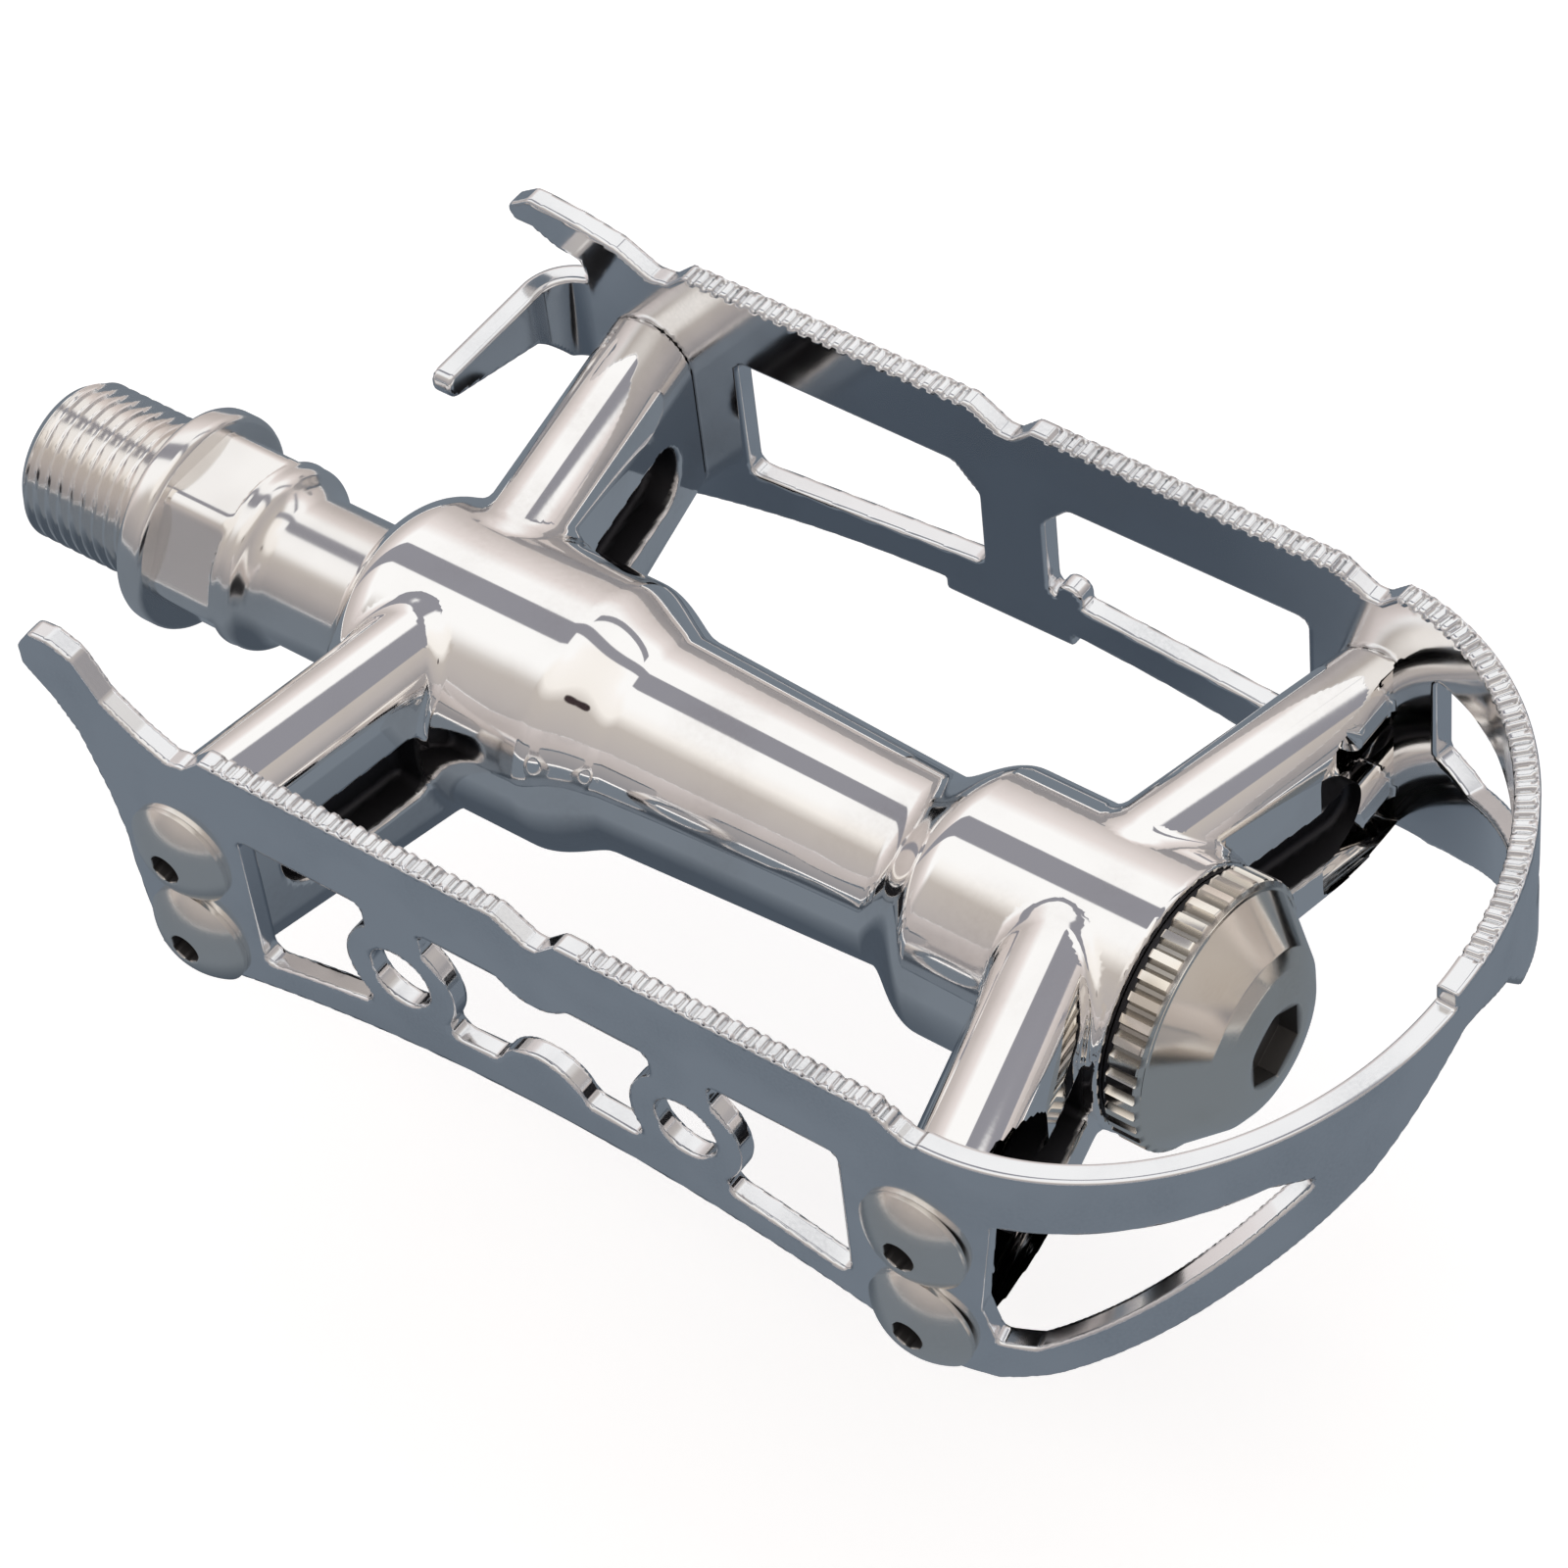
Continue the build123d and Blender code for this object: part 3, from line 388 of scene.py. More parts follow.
def arm_distance(p, root_x, end_x, side):
    """Distance to one arm, how far along it each point is, and how deep in a pocket, 0 to 1.

    The bar is the distance to an upright line in the arm's cross-section, less half its width. A
    pocket is the same line laid along the arm, and is taken away.
    """
    splay = (end_x - root_x) / (plate_inner_y - arm_root_y)
    length = np.hypot(splay, 1)
    along_x, along_y = splay / length, side / length
    from_x = p[:, 0] - (root_x - splay * arm_root_y)
    along = from_x * along_x + p[:, 1] * along_y
    across = from_x * along_y - p[:, 1] * along_x
    fall = (arm_low_end - arm_low_root) / (plate_inner_y - arm_root_y)
    low = arm_low_root + fall * (along / length - arm_root_y) + arm_half
    z = p[:, 2]
    height = z - np.clip(z, low, arm_top - arm_half)
    bar = np.hypot(across, height) - arm_half
    middle = (pocket_start + pocket_end) / 2 * length
    half = (pocket_end - pocket_start) / 2 * length - pocket_half
    off = along - middle
    off = off - np.clip(off, -half, half)
    depth = arm_half - np.abs(across)
    mouth = np.hypot(off, z) - pocket_half + np.maximum(depth, 0) * pocket_draft
    pocket = common(mouth, depth - pocket_depth, pocket_floor_round)
    bar = common(bar, -pocket, forged_edge)
    # Depth in a pocket, 0 to 1, which later gets painted shade and more roughness.
    inside = smooth_step((shade_rough_reach - mouth) / shade_rough_fade)
    inside = inside * smooth_step((depth - shade_rough_from) / shade_rough_run) * (along > 0)
    return common(bar, np.abs(p[:, 1]) - (plate_inner_y - arm_end_gap), arm_end_round), along, inside


# %% [markdown]
# The forging is the middle joined with its four arms, and after it the machining: bores for the
# bearings and a hole for each screw. The fillets fade out near the axis, where an arm is buried.

# %% Whole forging
def body_distance(p):
    """The smaller of middle and arms, with fillets, then the larger of that and each hole's negative."""
    metal = turned_distance(p)
    for root_x, end_x, side in arms:
        bar, along, _ = arm_distance(p, root_x, end_x, side)
        fade = least_fillet + (1 - least_fillet) * smooth_step((along - fillet_from) / fillet_run)
        metal = np.where(along > 0, joined(metal, bar, arm_fillet * fade), metal)
    metal = np.maximum(metal, np.abs(p[:, 2]) - inner_boss)
    x, r = p[:, 0], np.hypot(p[:, 1], p[:, 2])
    bore = np.select([x < end for end, _ in bores], [radius for _, radius in bores], last_bore)
    metal = np.maximum(metal, bore - r)
    for hole_x, hole_z in screw_spots:
        hole = np.hypot(x - hole_x, p[:, 2] - hole_z) - screw_hole_radius
        metal = np.where(np.abs(p[:, 1]) > screw_hole_from_y, np.maximum(metal, -hole), metal)
    return metal


def pocket_shade_and_rough(p):
    """1 inside an arm's pocket, where painted shade darkens the colour and the forging is left rough, 0 on
    the polished outside.
    """
    return np.max([arm_distance(p, root_x, end_x, side)[2] for root_x, end_x, side in arms], axis=0)


# %% [markdown]
# A pocket, a socket, the gap of a knurl or the cap's neck misses the polish and lies in shade. Each point
# stores how
# deep it lies in such a recess: its colour turns darker there as painted shade, and its roughness rises.

# %% Painted shade in recesses
def mark_recess_shade(piece, rule):
    """Stores how far each point lies in a hollow, 0 to 1, where shade is painted and no polish reaches."""
    points = np.empty(len(piece.data.vertices) * 3)
    piece.data.vertices.foreach_get("co", points)
    share = np.clip(rule(points.reshape(-1, 3) / mm), 0, 1)
    layer = piece.data.attributes.new("recess_shade", "FLOAT", "POINT")
    layer.data.foreach_set("value", share.astype(np.float32))


# %% [markdown]
# The net is laid over a box that just holds the forging. Its points then slide onto the surface, and
# the formula's own slope gives the normals, which keeps long reflections smooth.

# %% Lay the body's net
net_low, net_high, body_cell = (20.8, -30.6, -12.4), (98.9, 30.6, 12.4), 0.42
body_points, body_faces = surface_net(body_distance, net_low, net_high, body_cell)
body_points, body_normals = laid_on(body_distance, body_points)
body_mesh = bpy.data.meshes.new("forged_body")
body_mesh.from_pydata((body_points * mm).tolist(), [], body_faces.tolist())
body_mesh.polygons.foreach_set("use_smooth", np.ones(len(body_mesh.polygons), bool))
body_mesh.normals_split_custom_set_from_vertices(body_normals.tolist())
forged_body = bpy.data.objects.new("forged_body", body_mesh)
bpy.context.scene.collection.objects.link(forged_body)
# The arms' pockets get painted shade and roughness.
mark_recess_shade(forged_body, pocket_shade_and_rough)
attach(forged_body, "pedal_group")
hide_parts("body")
print("body faces:", len(body_faces))
print("body reaches from", body_points.min(0).round(2), "to", body_points.max(0).round(2))

# %% [markdown]
# The other round pieces are grids of points worked out by formula. The first helper numbers the
# grid's cells, each of which becomes one four-sided face, and the second makes the mesh.

# %% Grid to mesh
def grid_faces(rows, columns, closed):
    """Corner numbers of each cell of a grid. A closed grid joins its last column to its first."""
    number = np.arange(rows * columns).reshape(rows, columns)
    if closed:
        number = np.hstack([number, number[:, :1]])
    corners = [number[:-1, :-1], number[1:, :-1], number[1:, 1:], number[:-1, 1:]]
    return np.stack(corners, -1).reshape(-1, 4)


def finish_mesh(name, points, faces, smooth_below=32.0, outward=True):
    """A mesh object at the origin from points in millimetres. Edges sharper than the angle stay crisp."""
    mesh = bpy.data.meshes.new(name)
    mesh.from_pydata((points * mm).tolist(), [], faces.tolist())
    work = bmesh.new()
    work.from_mesh(mesh)
    bmesh.ops.remove_doubles(work, verts=work.verts, dist=1e-7)
    if outward:
        bmesh.ops.recalc_face_normals(work, faces=work.faces)
    work.to_mesh(mesh)
    work.free()
    mesh.polygons.foreach_set("use_smooth", np.ones(len(mesh.polygons), bool))
    mesh.set_sharp_from_angle(angle=np.radians(smooth_below))
    piece = bpy.data.objects.new(name, mesh)
    bpy.context.scene.collection.objects.link(piece)
    return piece


# %% [markdown]
# A turned piece starts as an outline, in place along the axis and radius. Real edges are never
# knife sharp, so each corner of an outline gets a small arc.

# %% Rounded outlines
def rounded(corners, radii, steps=6):
    """An outline through corners, each inner corner replaced by an arc of its radius.

    The arc touches both sides at radius * tan(half the turn) from the corner.
    """
    corners = np.asarray(corners, float)
    out = [corners[:1]]
    for before, corner, after, radius in zip(corners[:-2], corners[1:-1], corners[2:], radii):
        one = (before - corner) / np.linalg.norm(before - corner)
        two = (after - corner) / np.linalg.norm(after - corner)
        half = np.arccos(np.clip(one @ two, -1, 1)) / 2
        if radius <= 0 or half > 1.56:
            out.append(corner[None])
            continue
        reach = radius / np.tan(half)
        middle = corner + (one + two) / np.linalg.norm(one + two) * radius / np.sin(half)
        first, last = corner + one * reach - middle, corner + two * reach - middle
        share = np.linspace(0, 1, steps)[:, None]
        spread = np.arccos(np.clip(first @ last / radius ** 2, -1, 1))
        arc = (np.sin((1 - share) * spread) * first + np.sin(share * spread) * last) / np.sin(spread)
        out.append(middle + arc)
    out.append(corners[-1:])
    return np.vstack(out)


# %% Turned surfaces
def turned(name, outline, columns=192, radius_rule=None, smooth_below=32.0):
    """A surface of revolution about X: point (x, r) at angle a goes to (x, r cos a, r sin a).

    radius_rule may change each radius by place and angle, for threads, flats and ribs.
    """
    angle = np.arange(columns) * 2 * np.pi / columns
    x, a = np.meshgrid(outline[:, 0], angle, indexing="ij")
    r = np.repeat(outline[:, 1:2], columns, 1)
    if radius_rule is not None:
        r = radius_rule(x, a, r)
    points = np.stack([x, r * np.cos(a), r * np.sin(a)], -1)
    return finish_mesh(name, points.reshape(-1, 3), grid_faces(len(outline), columns, True), smooth_below)


def off_flat(a):
    """Angle from the middle of the nearest of six flats, between -30 and 30 degrees.

    A hexagon's radius is half its width across flats, divided by the cosine of this angle.
    """
    return (a + np.pi / 6) % (np.pi / 3) - np.pi / 6


# %% [markdown]
# The spindle is turned from one steel bar: a threaded end for the crank, a flange, a spanner hex, a
# rounded shoulder and a neck that enters the body. Everything is one turned profile. The hex is cut
# by taking the smaller of the turned radius and the radius of a hexagon, and the thread is a ridge
# that climbs one pitch with each turn.

# %% Spindle
thread_radius, thread_depth, pitch = 7.144, 0.72, 1.27
crest_share, flank_share = 0.18, 0.66
thread_tip, tip_run, thread_root, root_run, thread_end = -12.9, 1.6, -0.9, 0.5, -0.6
hex_half, hex_start, hex_end = 7.5, 2.7, 9.0
cone_from, cone_rise, corner_keenness = hex_end - 0.45, 1.3, 14
corner_radius, shoulder_drop, groove_radius = 8.35, 0.25, 1.6375


def spindle_radius(x, a, r):
    """Thread: crest less depth times the ridge's distance from its crest, which climbs as a/2pi pitches.

    Hex: the soft smaller of the turned radius and the flat's, -log(e^-kr + e^-kf) / k. The flats end
    in a cone that rises to the shoulder.
    """
    turn_share = (x / pitch - a / (2 * np.pi)) % 1.0
    ridge = np.clip((np.abs(turn_share - 0.5) * 2 - crest_share) / flank_share, 0, 1)
    fade = smooth_step((x - thread_tip) / tip_run) * smooth_step((thread_root - x) / root_run)
    on_thread = (x < thread_end) & (r > 5.5)
    r = np.where(on_thread, r - thread_depth * (1 - ridge) * fade, r)
    flat = hex_half / np.cos(np.pi / 6 - np.abs(off_flat(a)))
    cone = hex_half + (x - cone_from) * cone_rise
    on_hex = (x > hex_start - 0.01) & (x < hex_end + 1.0) & (r > 7.4)
    limit, k = np.maximum(flat, cone), corner_keenness
    soft = -np.log(np.exp(-r * k) + np.exp(-limit * k)) / k
    return np.where(on_hex, np.minimum(soft, r), r)


# %% [markdown]
# The outline runs from the crank end to the inner end: thread, flange, hex and shoulder, neck, the
# hollow groove that the balls run in, and the thin shaft inside the barrel.

# %% Spindle outline
thread_rows = np.arange(-12.0, -0.72, pitch / 12)
shoulder_rows = np.linspace(8.4, 9.8, 15)
groove_turn = np.linspace(0.1, 1.55, 8)
spindle_outline = np.vstack([
    rounded([(-13.0, 0), (-13.0, 6.2), (-12.0, thread_radius), (-11.9, thread_radius)], [0.3, 0.3]),
    np.column_stack([thread_rows, np.full(len(thread_rows), thread_radius)]),
    rounded([(-0.55, 6.5), (0, 6.5), (0, 9.6), (2.7, 9.6), (2.7, 8.6)], [0.15, 0.75, 0.75]),
    rounded([(2.7, 8.5), (2.75, corner_radius), (3.1, corner_radius)], [0.02]),
    np.column_stack([np.linspace(3.2, 8.3, 12), np.full(12, corner_radius)]),
    np.column_stack([shoulder_rows, corner_radius - shoulder_drop * smooth_step(shoulder_rows - 8.6)]),
    rounded([(9.9, 8.1), (10.75, 8.1), (12.0, 6.5), (25.86, 6.5)], [1.3, 2.4], 10),
    np.column_stack([25.9 + groove_radius * (1 - np.cos(groove_turn)),
                     6.6 - groove_radius * np.sin(groove_turn)]),
    rounded([(27.6, 5.0), (82.0, 4.4), (85.0, 4.4), (85.5, 4.0), (95.0, 4.0), (95.8, 3.4), (95.8, 0)],
            [0, 0, 0, 0, 0.1, 0.1]),
])
print("spindle rows:", len(spindle_outline), "x ends", spindle_outline[0, 0], spindle_outline[-1, 0])
threaded_spindle = turned("threaded_spindle", spindle_outline, 240, spindle_radius, smooth_below=22.0)
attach(threaded_spindle, "spindle_group")
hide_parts("spindle")

# %% [markdown]
# The dust cap is turned and nickelled. A narrow neck parts it from the body, and painted shade in it makes a
# dark line. Then come a knurled rim for the fingers, a cone, and a slightly crowned face with a hexagon
# socket. The ribs of the knurl are raised by a formula that is flat on top and drops into narrow gaps.

# %% Dust cap
cap_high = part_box("dust_cap")[1] / mm
cap_seat, cap_face = outer_end + 0.05, cap_high[0]
knurl_start, knurl_end, rib_count = cap_seat + 0.55, cap_seat + 3.25, 40
rib_flat, rib_shoulder, gap_depth, gap_radius, rim_radius = 0.40, 0.36, 0.62, 10.6, 11.3
socket_half, socket_row, socket_floor = 3.0, 2.9, cap_face - 1.8
# Strength of the painted shade in the gaps between the ribs and in the socket.
gap_shade, cap_socket_shade = 0.55, 0.85


def rib_gap(a):
    """0 on top of a rib, 1 in the gap beside it, with round shoulders."""
    share = (a * rib_count / (2 * np.pi)) % 1.0
    return smooth_step((np.abs(share - 0.5) * 2 - rib_flat) / rib_shoulder)


def cap_radius(x, a, r):
    """Ribs: the rim's radius less a gap whose depth follows the angle. Socket: a hexagon."""
    on_rim = (x > knurl_start - 0.01) & (x < knurl_end + 0.01) & (r > gap_radius + 0.1)
    r = np.where(on_rim, np.maximum(r - gap_depth * rib_gap(a), gap_radius), r)
    flat = socket_half / np.cos(off_flat(a))
    in_socket = (x < cap_face + 0.01) & (np.abs(r - socket_row) < 0.1) & (x > socket_floor - 0.01)
    return np.where(in_socket, flat + (r - socket_row), r)


def cap_shade_mask(p):
    """Painted shade: the neck behind the rim, the gaps between the ribs, and the socket."""
    x, r, a = p[:, 0], np.hypot(p[:, 1], p[:, 2]), np.arctan2(p[:, 2], p[:, 1])
    neck = (x < knurl_start + 0.02) & (x > cap_seat - 0.2)
    gaps = gap_shade * rib_gap(a) * (x > knurl_start) * (x < knurl_end + 0.2) * (r > gap_radius - 0.2)
    socket = cap_socket_shade * (x < cap_face - 0.1) * (x > socket_floor - 0.1) * (r < 3.6)
    return np.where(neck, 1.0, np.maximum(gaps, socket))


# %% [markdown]
# The cap's outline starts on the axis in the socket, crosses the crowned face, comes down the cone
# and the rim, and goes back inside through the neck and the skirt.

# %% Dust cap outline
skirt_radius, skirt_bore, skirt_end, inner_face = 9.5, 7.4, cap_seat - 5.0, cap_face - 4.2
cap_outline = np.vstack([
    rounded([(socket_floor, 0), (socket_floor, socket_row), (cap_face - 0.15, socket_row)], [0.02], 2),
    rounded([(cap_face, 3.65), (cap_face, 4.3), (cap_face - 0.45, 6.2), (cap_face - 1.4, 7.6),
             (knurl_end + 0.45, 10.6), (knurl_end + 0.35, 10.8)], [1.6, 1.8, 0.6, 0.1], 7),
    rounded([(knurl_end + 0.3, 10.8), (knurl_end, rim_radius), (knurl_start, rim_radius),
             (knurl_start, 10.5), (cap_seat, 10.5), (cap_seat, skirt_radius), (skirt_end, skirt_radius),
             (skirt_end, skirt_bore), (knurl_end, skirt_bore), (inner_face, 6.2), (inner_face, 0)],
            [0.35, 0.3, 0.1, 0.05, 0.05, 0.1, 0.1, 0.1, 0.1], 5),
])
nickel_cap = turned("nickel_dust_cap", cap_outline, rib_count * 10, cap_radius)
# Painted shade in the neck, the knurl's gaps and the socket.
mark_recess_shade(nickel_cap, cap_shade_mask)
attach(nickel_cap, "pedal_group")
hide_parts("dust_cap")
print("cap ribs:", rib_count, "face at", round(cap_face, 2))

# %% [markdown]
# Eight button head screws hold the cage. Each is a low dome with a hexagon socket in its middle.
# One turned outline, in height above the plate and radius, serves all eight. Each screw is turned on
# the X axis and its mesh is then moved to its place.

# %% Screws
head_radius, head_height, rim_height, socket_across, socket_deep = 4.65, 2.4, 0.5, 2.5, 1.5
# The last number is the strength of the painted shade in each socket.
shank_radius, shank_end, screw_socket_shade = 2.0, -6.0, 0.9
dome_sphere = (head_radius ** 2 + (head_height - rim_height) ** 2) / (2 * (head_height - rim_height))
dome_rows = np.linspace(1.5, head_radius, 14)
dome_heights = head_height - dome_sphere + np.sqrt(dome_sphere ** 2 - dome_rows ** 2)
screw_outline = np.vstack([
    [(head_height - socket_deep, 0), (head_height - socket_deep, 1.25), (2.05, 1.25), (2.17, 1.36)],
    np.column_stack([dome_heights, dome_rows]),
    rounded([(rim_height - 0.05, head_radius), (0, head_radius), (0, shank_radius),
             (shank_end, shank_radius), (shank_end, 0)], [0.15, 0.1, 0.3]),
])


def socket_radius(x, a, r):
    """Inside the socket the radius is that of a hexagon."""
    flat = socket_across / 2 / np.cos(off_flat(a))
    return np.where((r > 0.1) & (r < 1.3) & (x > 0.5), flat, r)


def screw_socket_shade_mask(p):
    """Painted shade inside the socket of a screw that still lies along the X axis."""
    r = np.hypot(p[:, 1], p[:, 2])
    return screw_socket_shade * (r < 1.5) * (p[:, 0] > 0.5) * (p[:, 0] < head_height - 0.3)


screws = []
for cad_name in sorted(name for name in nodes if name.startswith("screw_")):
    low, high = (np.array(v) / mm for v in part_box(cad_name))
    side = 1 if high[1] > 0 else -1
    top = high[1] if side > 0 else -low[1]
    screw = turned("button_" + cad_name, screw_outline, 72, socket_radius)
    # Painted shade in the socket.
    mark_recess_shade(screw, screw_socket_shade_mask)
    place = Matrix(((0, 1, 0, (low[0] + high[0]) / 2 * mm), (side, 0, 0, side * (top - head_height) * mm),
                    (0, 0, 1, (low[2] + high[2]) / 2 * mm), (0, 0, 0, 1)))
    screw.data.transform(place)
    if side > 0:
        screw.data.flip_normals()
    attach(screw, "pedal_group")
    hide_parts(cad_name)
    screws.append(screw)
print("screws:", len(screws))

# %% [markdown]
# The dust ring closes the body round the neck and continues its rounded end, so its outer edge
# follows the same quarter ellipse.

# %% Dust ring
ring_outer, ring_lip = 8.96, 6.58
ring_r = np.linspace(ring_outer, ring_lip, 16)
ring_share = (ring_r - dome_radius).clip(0) / (inner_boss - dome_radius)
ring_x = boss_start + dome_length - dome_length * np.sqrt(1 - ring_share ** 2)
ring_outline = np.vstack([
    [(22.6, ring_outer)], np.column_stack([ring_x, ring_r]),
    [(21.75, 6.56), (23.3, 6.56), (23.3, 7.99), (24.3, 7.99), (24.3, ring_outer), (22.6, ring_outer)],
])
dust_ring = turned("polished_dust_ring", ring_outline, 144)
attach(dust_ring, "pedal_group")
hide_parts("dust_ring")
print("dust ring from x", round(ring_x.min(), 2), "inside a boss that starts at", boss_start)

# %% [markdown]
# The cage is a strip of steel, cut to its outline with its windows, its top edge toothed for grip, and
# then bent round the outboard end. It is made here the same way: a flat strip first, in length s,
# height z and depth t, then a formula that bends it. The outline is read from the CAD cage's outer
# face, so that windows and horns stay where the frame has them.

# %% Strip path
bend_start, half_span, bend_reach, half_thick = 97.0, 30.8, 25.0, 1.0
sweep = np.linspace(-np.pi / 2, np.pi / 2, 721)
swept = np.hypot(bend_reach * np.sin(sweep), half_span * np.cos(sweep))
bend_s = bend_start + np.concatenate([[0], np.cumsum((swept[1:] + swept[:-1]) / 2 * np.diff(sweep))])
bend_finish = bend_s[-1]
hook_x, hook_y, hook_bend, hook_tip_y, hook_top = 21.0, 26.8, 4.0, 14.6, 12.0
hook_s = bend_finish + bend_start - hook_x
hook_arc = hook_bend * np.pi / 2
hook_end = hook_s + hook_arc + hook_y - hook_tip_y
print("strip: bend", round(bend_finish - bend_start, 1), "mm long, hook to s", round(hook_end, 1))


def bent(s, z, t):
    """Strip to space: straight front, half ellipse, straight rear, and a hook bent inwards.

    The hook is the part beyond hook_s that lies below the rear horn. Its corner is a quarter circle.
    """
    angle = np.interp(s, bend_s, sweep)
    x = bend_start + (bend_reach + t) * np.cos(angle)
    y = (half_span + t) * np.sin(angle)
    front, rear = s < bend_start, s > bend_finish
    x = np.where(front, s, np.where(rear, bend_finish + bend_start - s, x))
    y = np.where(front, -half_span - t, np.where(rear, half_span + t, y))
    turn = np.clip((s - hook_s) / hook_bend, 0, np.pi / 2)
    beyond = np.maximum(s - hook_s - hook_arc, 0)
    hooked = (s > hook_s) & (z < hook_top + 1.0)
    x = np.where(hooked, hook_x - (hook_bend + t) * np.sin(turn), x)
    y = np.where(hooked, hook_y + (hook_bend + t) * np.cos(turn) - beyond, y)
    return np.stack([x, y, z], -1)


# %% [markdown]
# The signed distance to the outline is worked out once on a fine flat lattice: how far the nearest
# edge is, negative where a level line crosses an odd number of edges before the point. After that it
# is only looked up.

# %% Outline from the CAD cage
def outer_outline(mesh):
    """Edges round the outer faces of the CAD cage, as pairs of (s, z) points."""
    work = bmesh.new()
    work.from_mesh(mesh)
    bmesh.ops.remove_doubles(work, verts=work.verts, dist=1e-6)
    place = np.array([v.co for v in work.verts]) / mm
    corners = np.array([[v.index for v in f.verts] for f in work.faces])
    work.free()
    x, y = place[:, 0], place[:, 1]
    reach = np.hypot((x - bend_start) / (bend_reach + half_thick), y / (half_span + half_thick))
    outside = np.where(x > bend_start, reach > 0.9985, np.abs(y) > half_span + half_thick - 0.02)
    faces = corners[outside[corners].all(1)]
    edges = np.sort(np.vstack([faces[:, [0, 1]], faces[:, [1, 2]], faces[:, [2, 0]]]), 1)
    edges, used = np.unique(edges, axis=0, return_counts=True)
    edges = edges[used == 1]
    angle = np.arctan2(y / (half_span + half_thick), (x - bend_start) / (bend_reach + half_thick))
    straight = np.where(y < 0, x, bend_finish + bend_start - x)
    s = np.where(x > bend_start, np.interp(angle, sweep, bend_s), straight)
    return np.stack([s, place[:, 2]], -1)[edges]


def flat_distance(points, edges, batch=4000):
    """Distance to the nearest edge, with its sign: the foot on each edge is its share, held to 0 to 1."""
    a, b = edges[:, 0], edges[:, 1]
    run = b - a
    length = (run ** 2).sum(-1) + 1e-12
    out = np.empty(len(points))
    for first in range(0, len(points), batch):
        p = points[first:first + batch, None]
        share = np.clip(((p - a) * run).sum(-1) / length, 0, 1)
        away = p - (a + share[..., None] * run)
        near = np.sqrt((away ** 2).sum(-1).min(1))
        across = (a[:, 1] > p[..., 1]) != (b[:, 1] > p[..., 1])
        hit = a[:, 0] + (p[..., 1] - a[:, 1]) / np.where(run[:, 1] == 0, 1e-12, run[:, 1]) * run[:, 0]
        inside = (across & (hit > p[..., 0])).sum(1) % 2 == 1
        out[first:first + batch] = np.where(inside, -near, near)
    return out


# %% Lattice of distances
lattice_cell = 0.22
cage_outline = outer_outline(nodes["cage"].data)
lattice_s = np.arange(11.0, hook_end + 2.0, lattice_cell)
lattice_z = np.arange(-12.0, 26.0, lattice_cell)
lattice = np.stack(np.meshgrid(lattice_s, lattice_z, indexing="ij"), -1)
sheet_value = flat_distance(lattice.reshape(-1, 2), cage_outline).reshape(lattice.shape[:2])
print("outline edges:", len(cage_outline), "lattice", sheet_value.shape)


def looked_up(s, z):
    """Value between lattice points, weighted by nearness."""
    u = np.clip((s - lattice_s[0]) / lattice_cell, 0, len(lattice_s) - 1.001)
    v = np.clip((z - lattice_z[0]) / lattice_cell, 0, len(lattice_z) - 1.001)
    i, j = u.astype(int), v.astype(int)
    u, v = u - i, v - j
    top = sheet_value[i, j] * (1 - u) + sheet_value[i + 1, j] * u
    return top * (1 - v) + (sheet_value[i, j + 1] * (1 - u) + sheet_value[i + 1, j + 1] * u) * v


# %% [markdown]
# The hook is a tapering finger: a strip between a level top edge and a lower edge that climbs to its
# tip. The teeth are grooves filed across the raised parts of the top edge, 1.25 mm apart; they stop
# short of the outer rim, which stays a smooth bright line.

# %% Cage distance
tooth_pitch, tooth_depth, edge_round = 1.25, 0.42, 0.32
tooth_foot, foot_run, outer_rim, rim_run, inner_rim, inner_run = 15.8, 0.8, 0.85, 0.35, -1.3, 0.3
hook_run, hook_round, hook_fillet = 1.0, 0.9, 0.8
# Raised parts of the top edge, each from s to s. The bend's own teeth start just past its middle.
toothed = [(31.5, 59.0), (66.5, 95.5), (bend_s[375], bend_finish - 1.5),
           (bend_finish + 2.5, bend_finish + 30.5), (bend_finish + 38.0, bend_finish + 66.0)]


def cage_distance(p):
    """Outline joined with the hook, less the teeth, kept between the strip's two faces with soft edges."""
    s, z, t = p[:, 0], p[:, 1], p[:, 2]
    low = np.interp(s - hook_s, [0, 3.45, 7.28, hook_end - hook_s], [3.0, 3.2, 6.8, 9.8])
    middle, half = (hook_top + low) / 2, (hook_top - low) / 2
    ends = np.abs(s - (hook_s + hook_end) / 2) - (hook_end - hook_s) / 2 - hook_run * (s < hook_s + 5)
    finger = common(np.abs(z - middle) - half, ends, hook_round)
    sheet = np.where(s > hook_s - 1.5, joined(looked_up(s, z), finger, hook_fillet), looked_up(s, z))
    wave = np.abs((s / tooth_pitch) % 1.0 - 0.5) * 2
    groove = smooth_step((wave - 0.35) / 0.5)
    mask = sum(smooth_step((s - a) / 0.6) * smooth_step((b - s) / 0.6) for a, b in toothed)
    mask = mask * smooth_step((z - tooth_foot) / foot_run)
    mask = mask * smooth_step((outer_rim - t) / rim_run) * smooth_step((t - inner_rim) / inner_run)
    sheet = sheet + tooth_depth * groove * mask
    return common(sheet, np.abs(t) - half_thick, edge_round)


# %% [markdown]
# The flat strip's net is laid first and then bent. Its normals turn with it: each is rebuilt from
# the bent strip's own directions along, up and out.

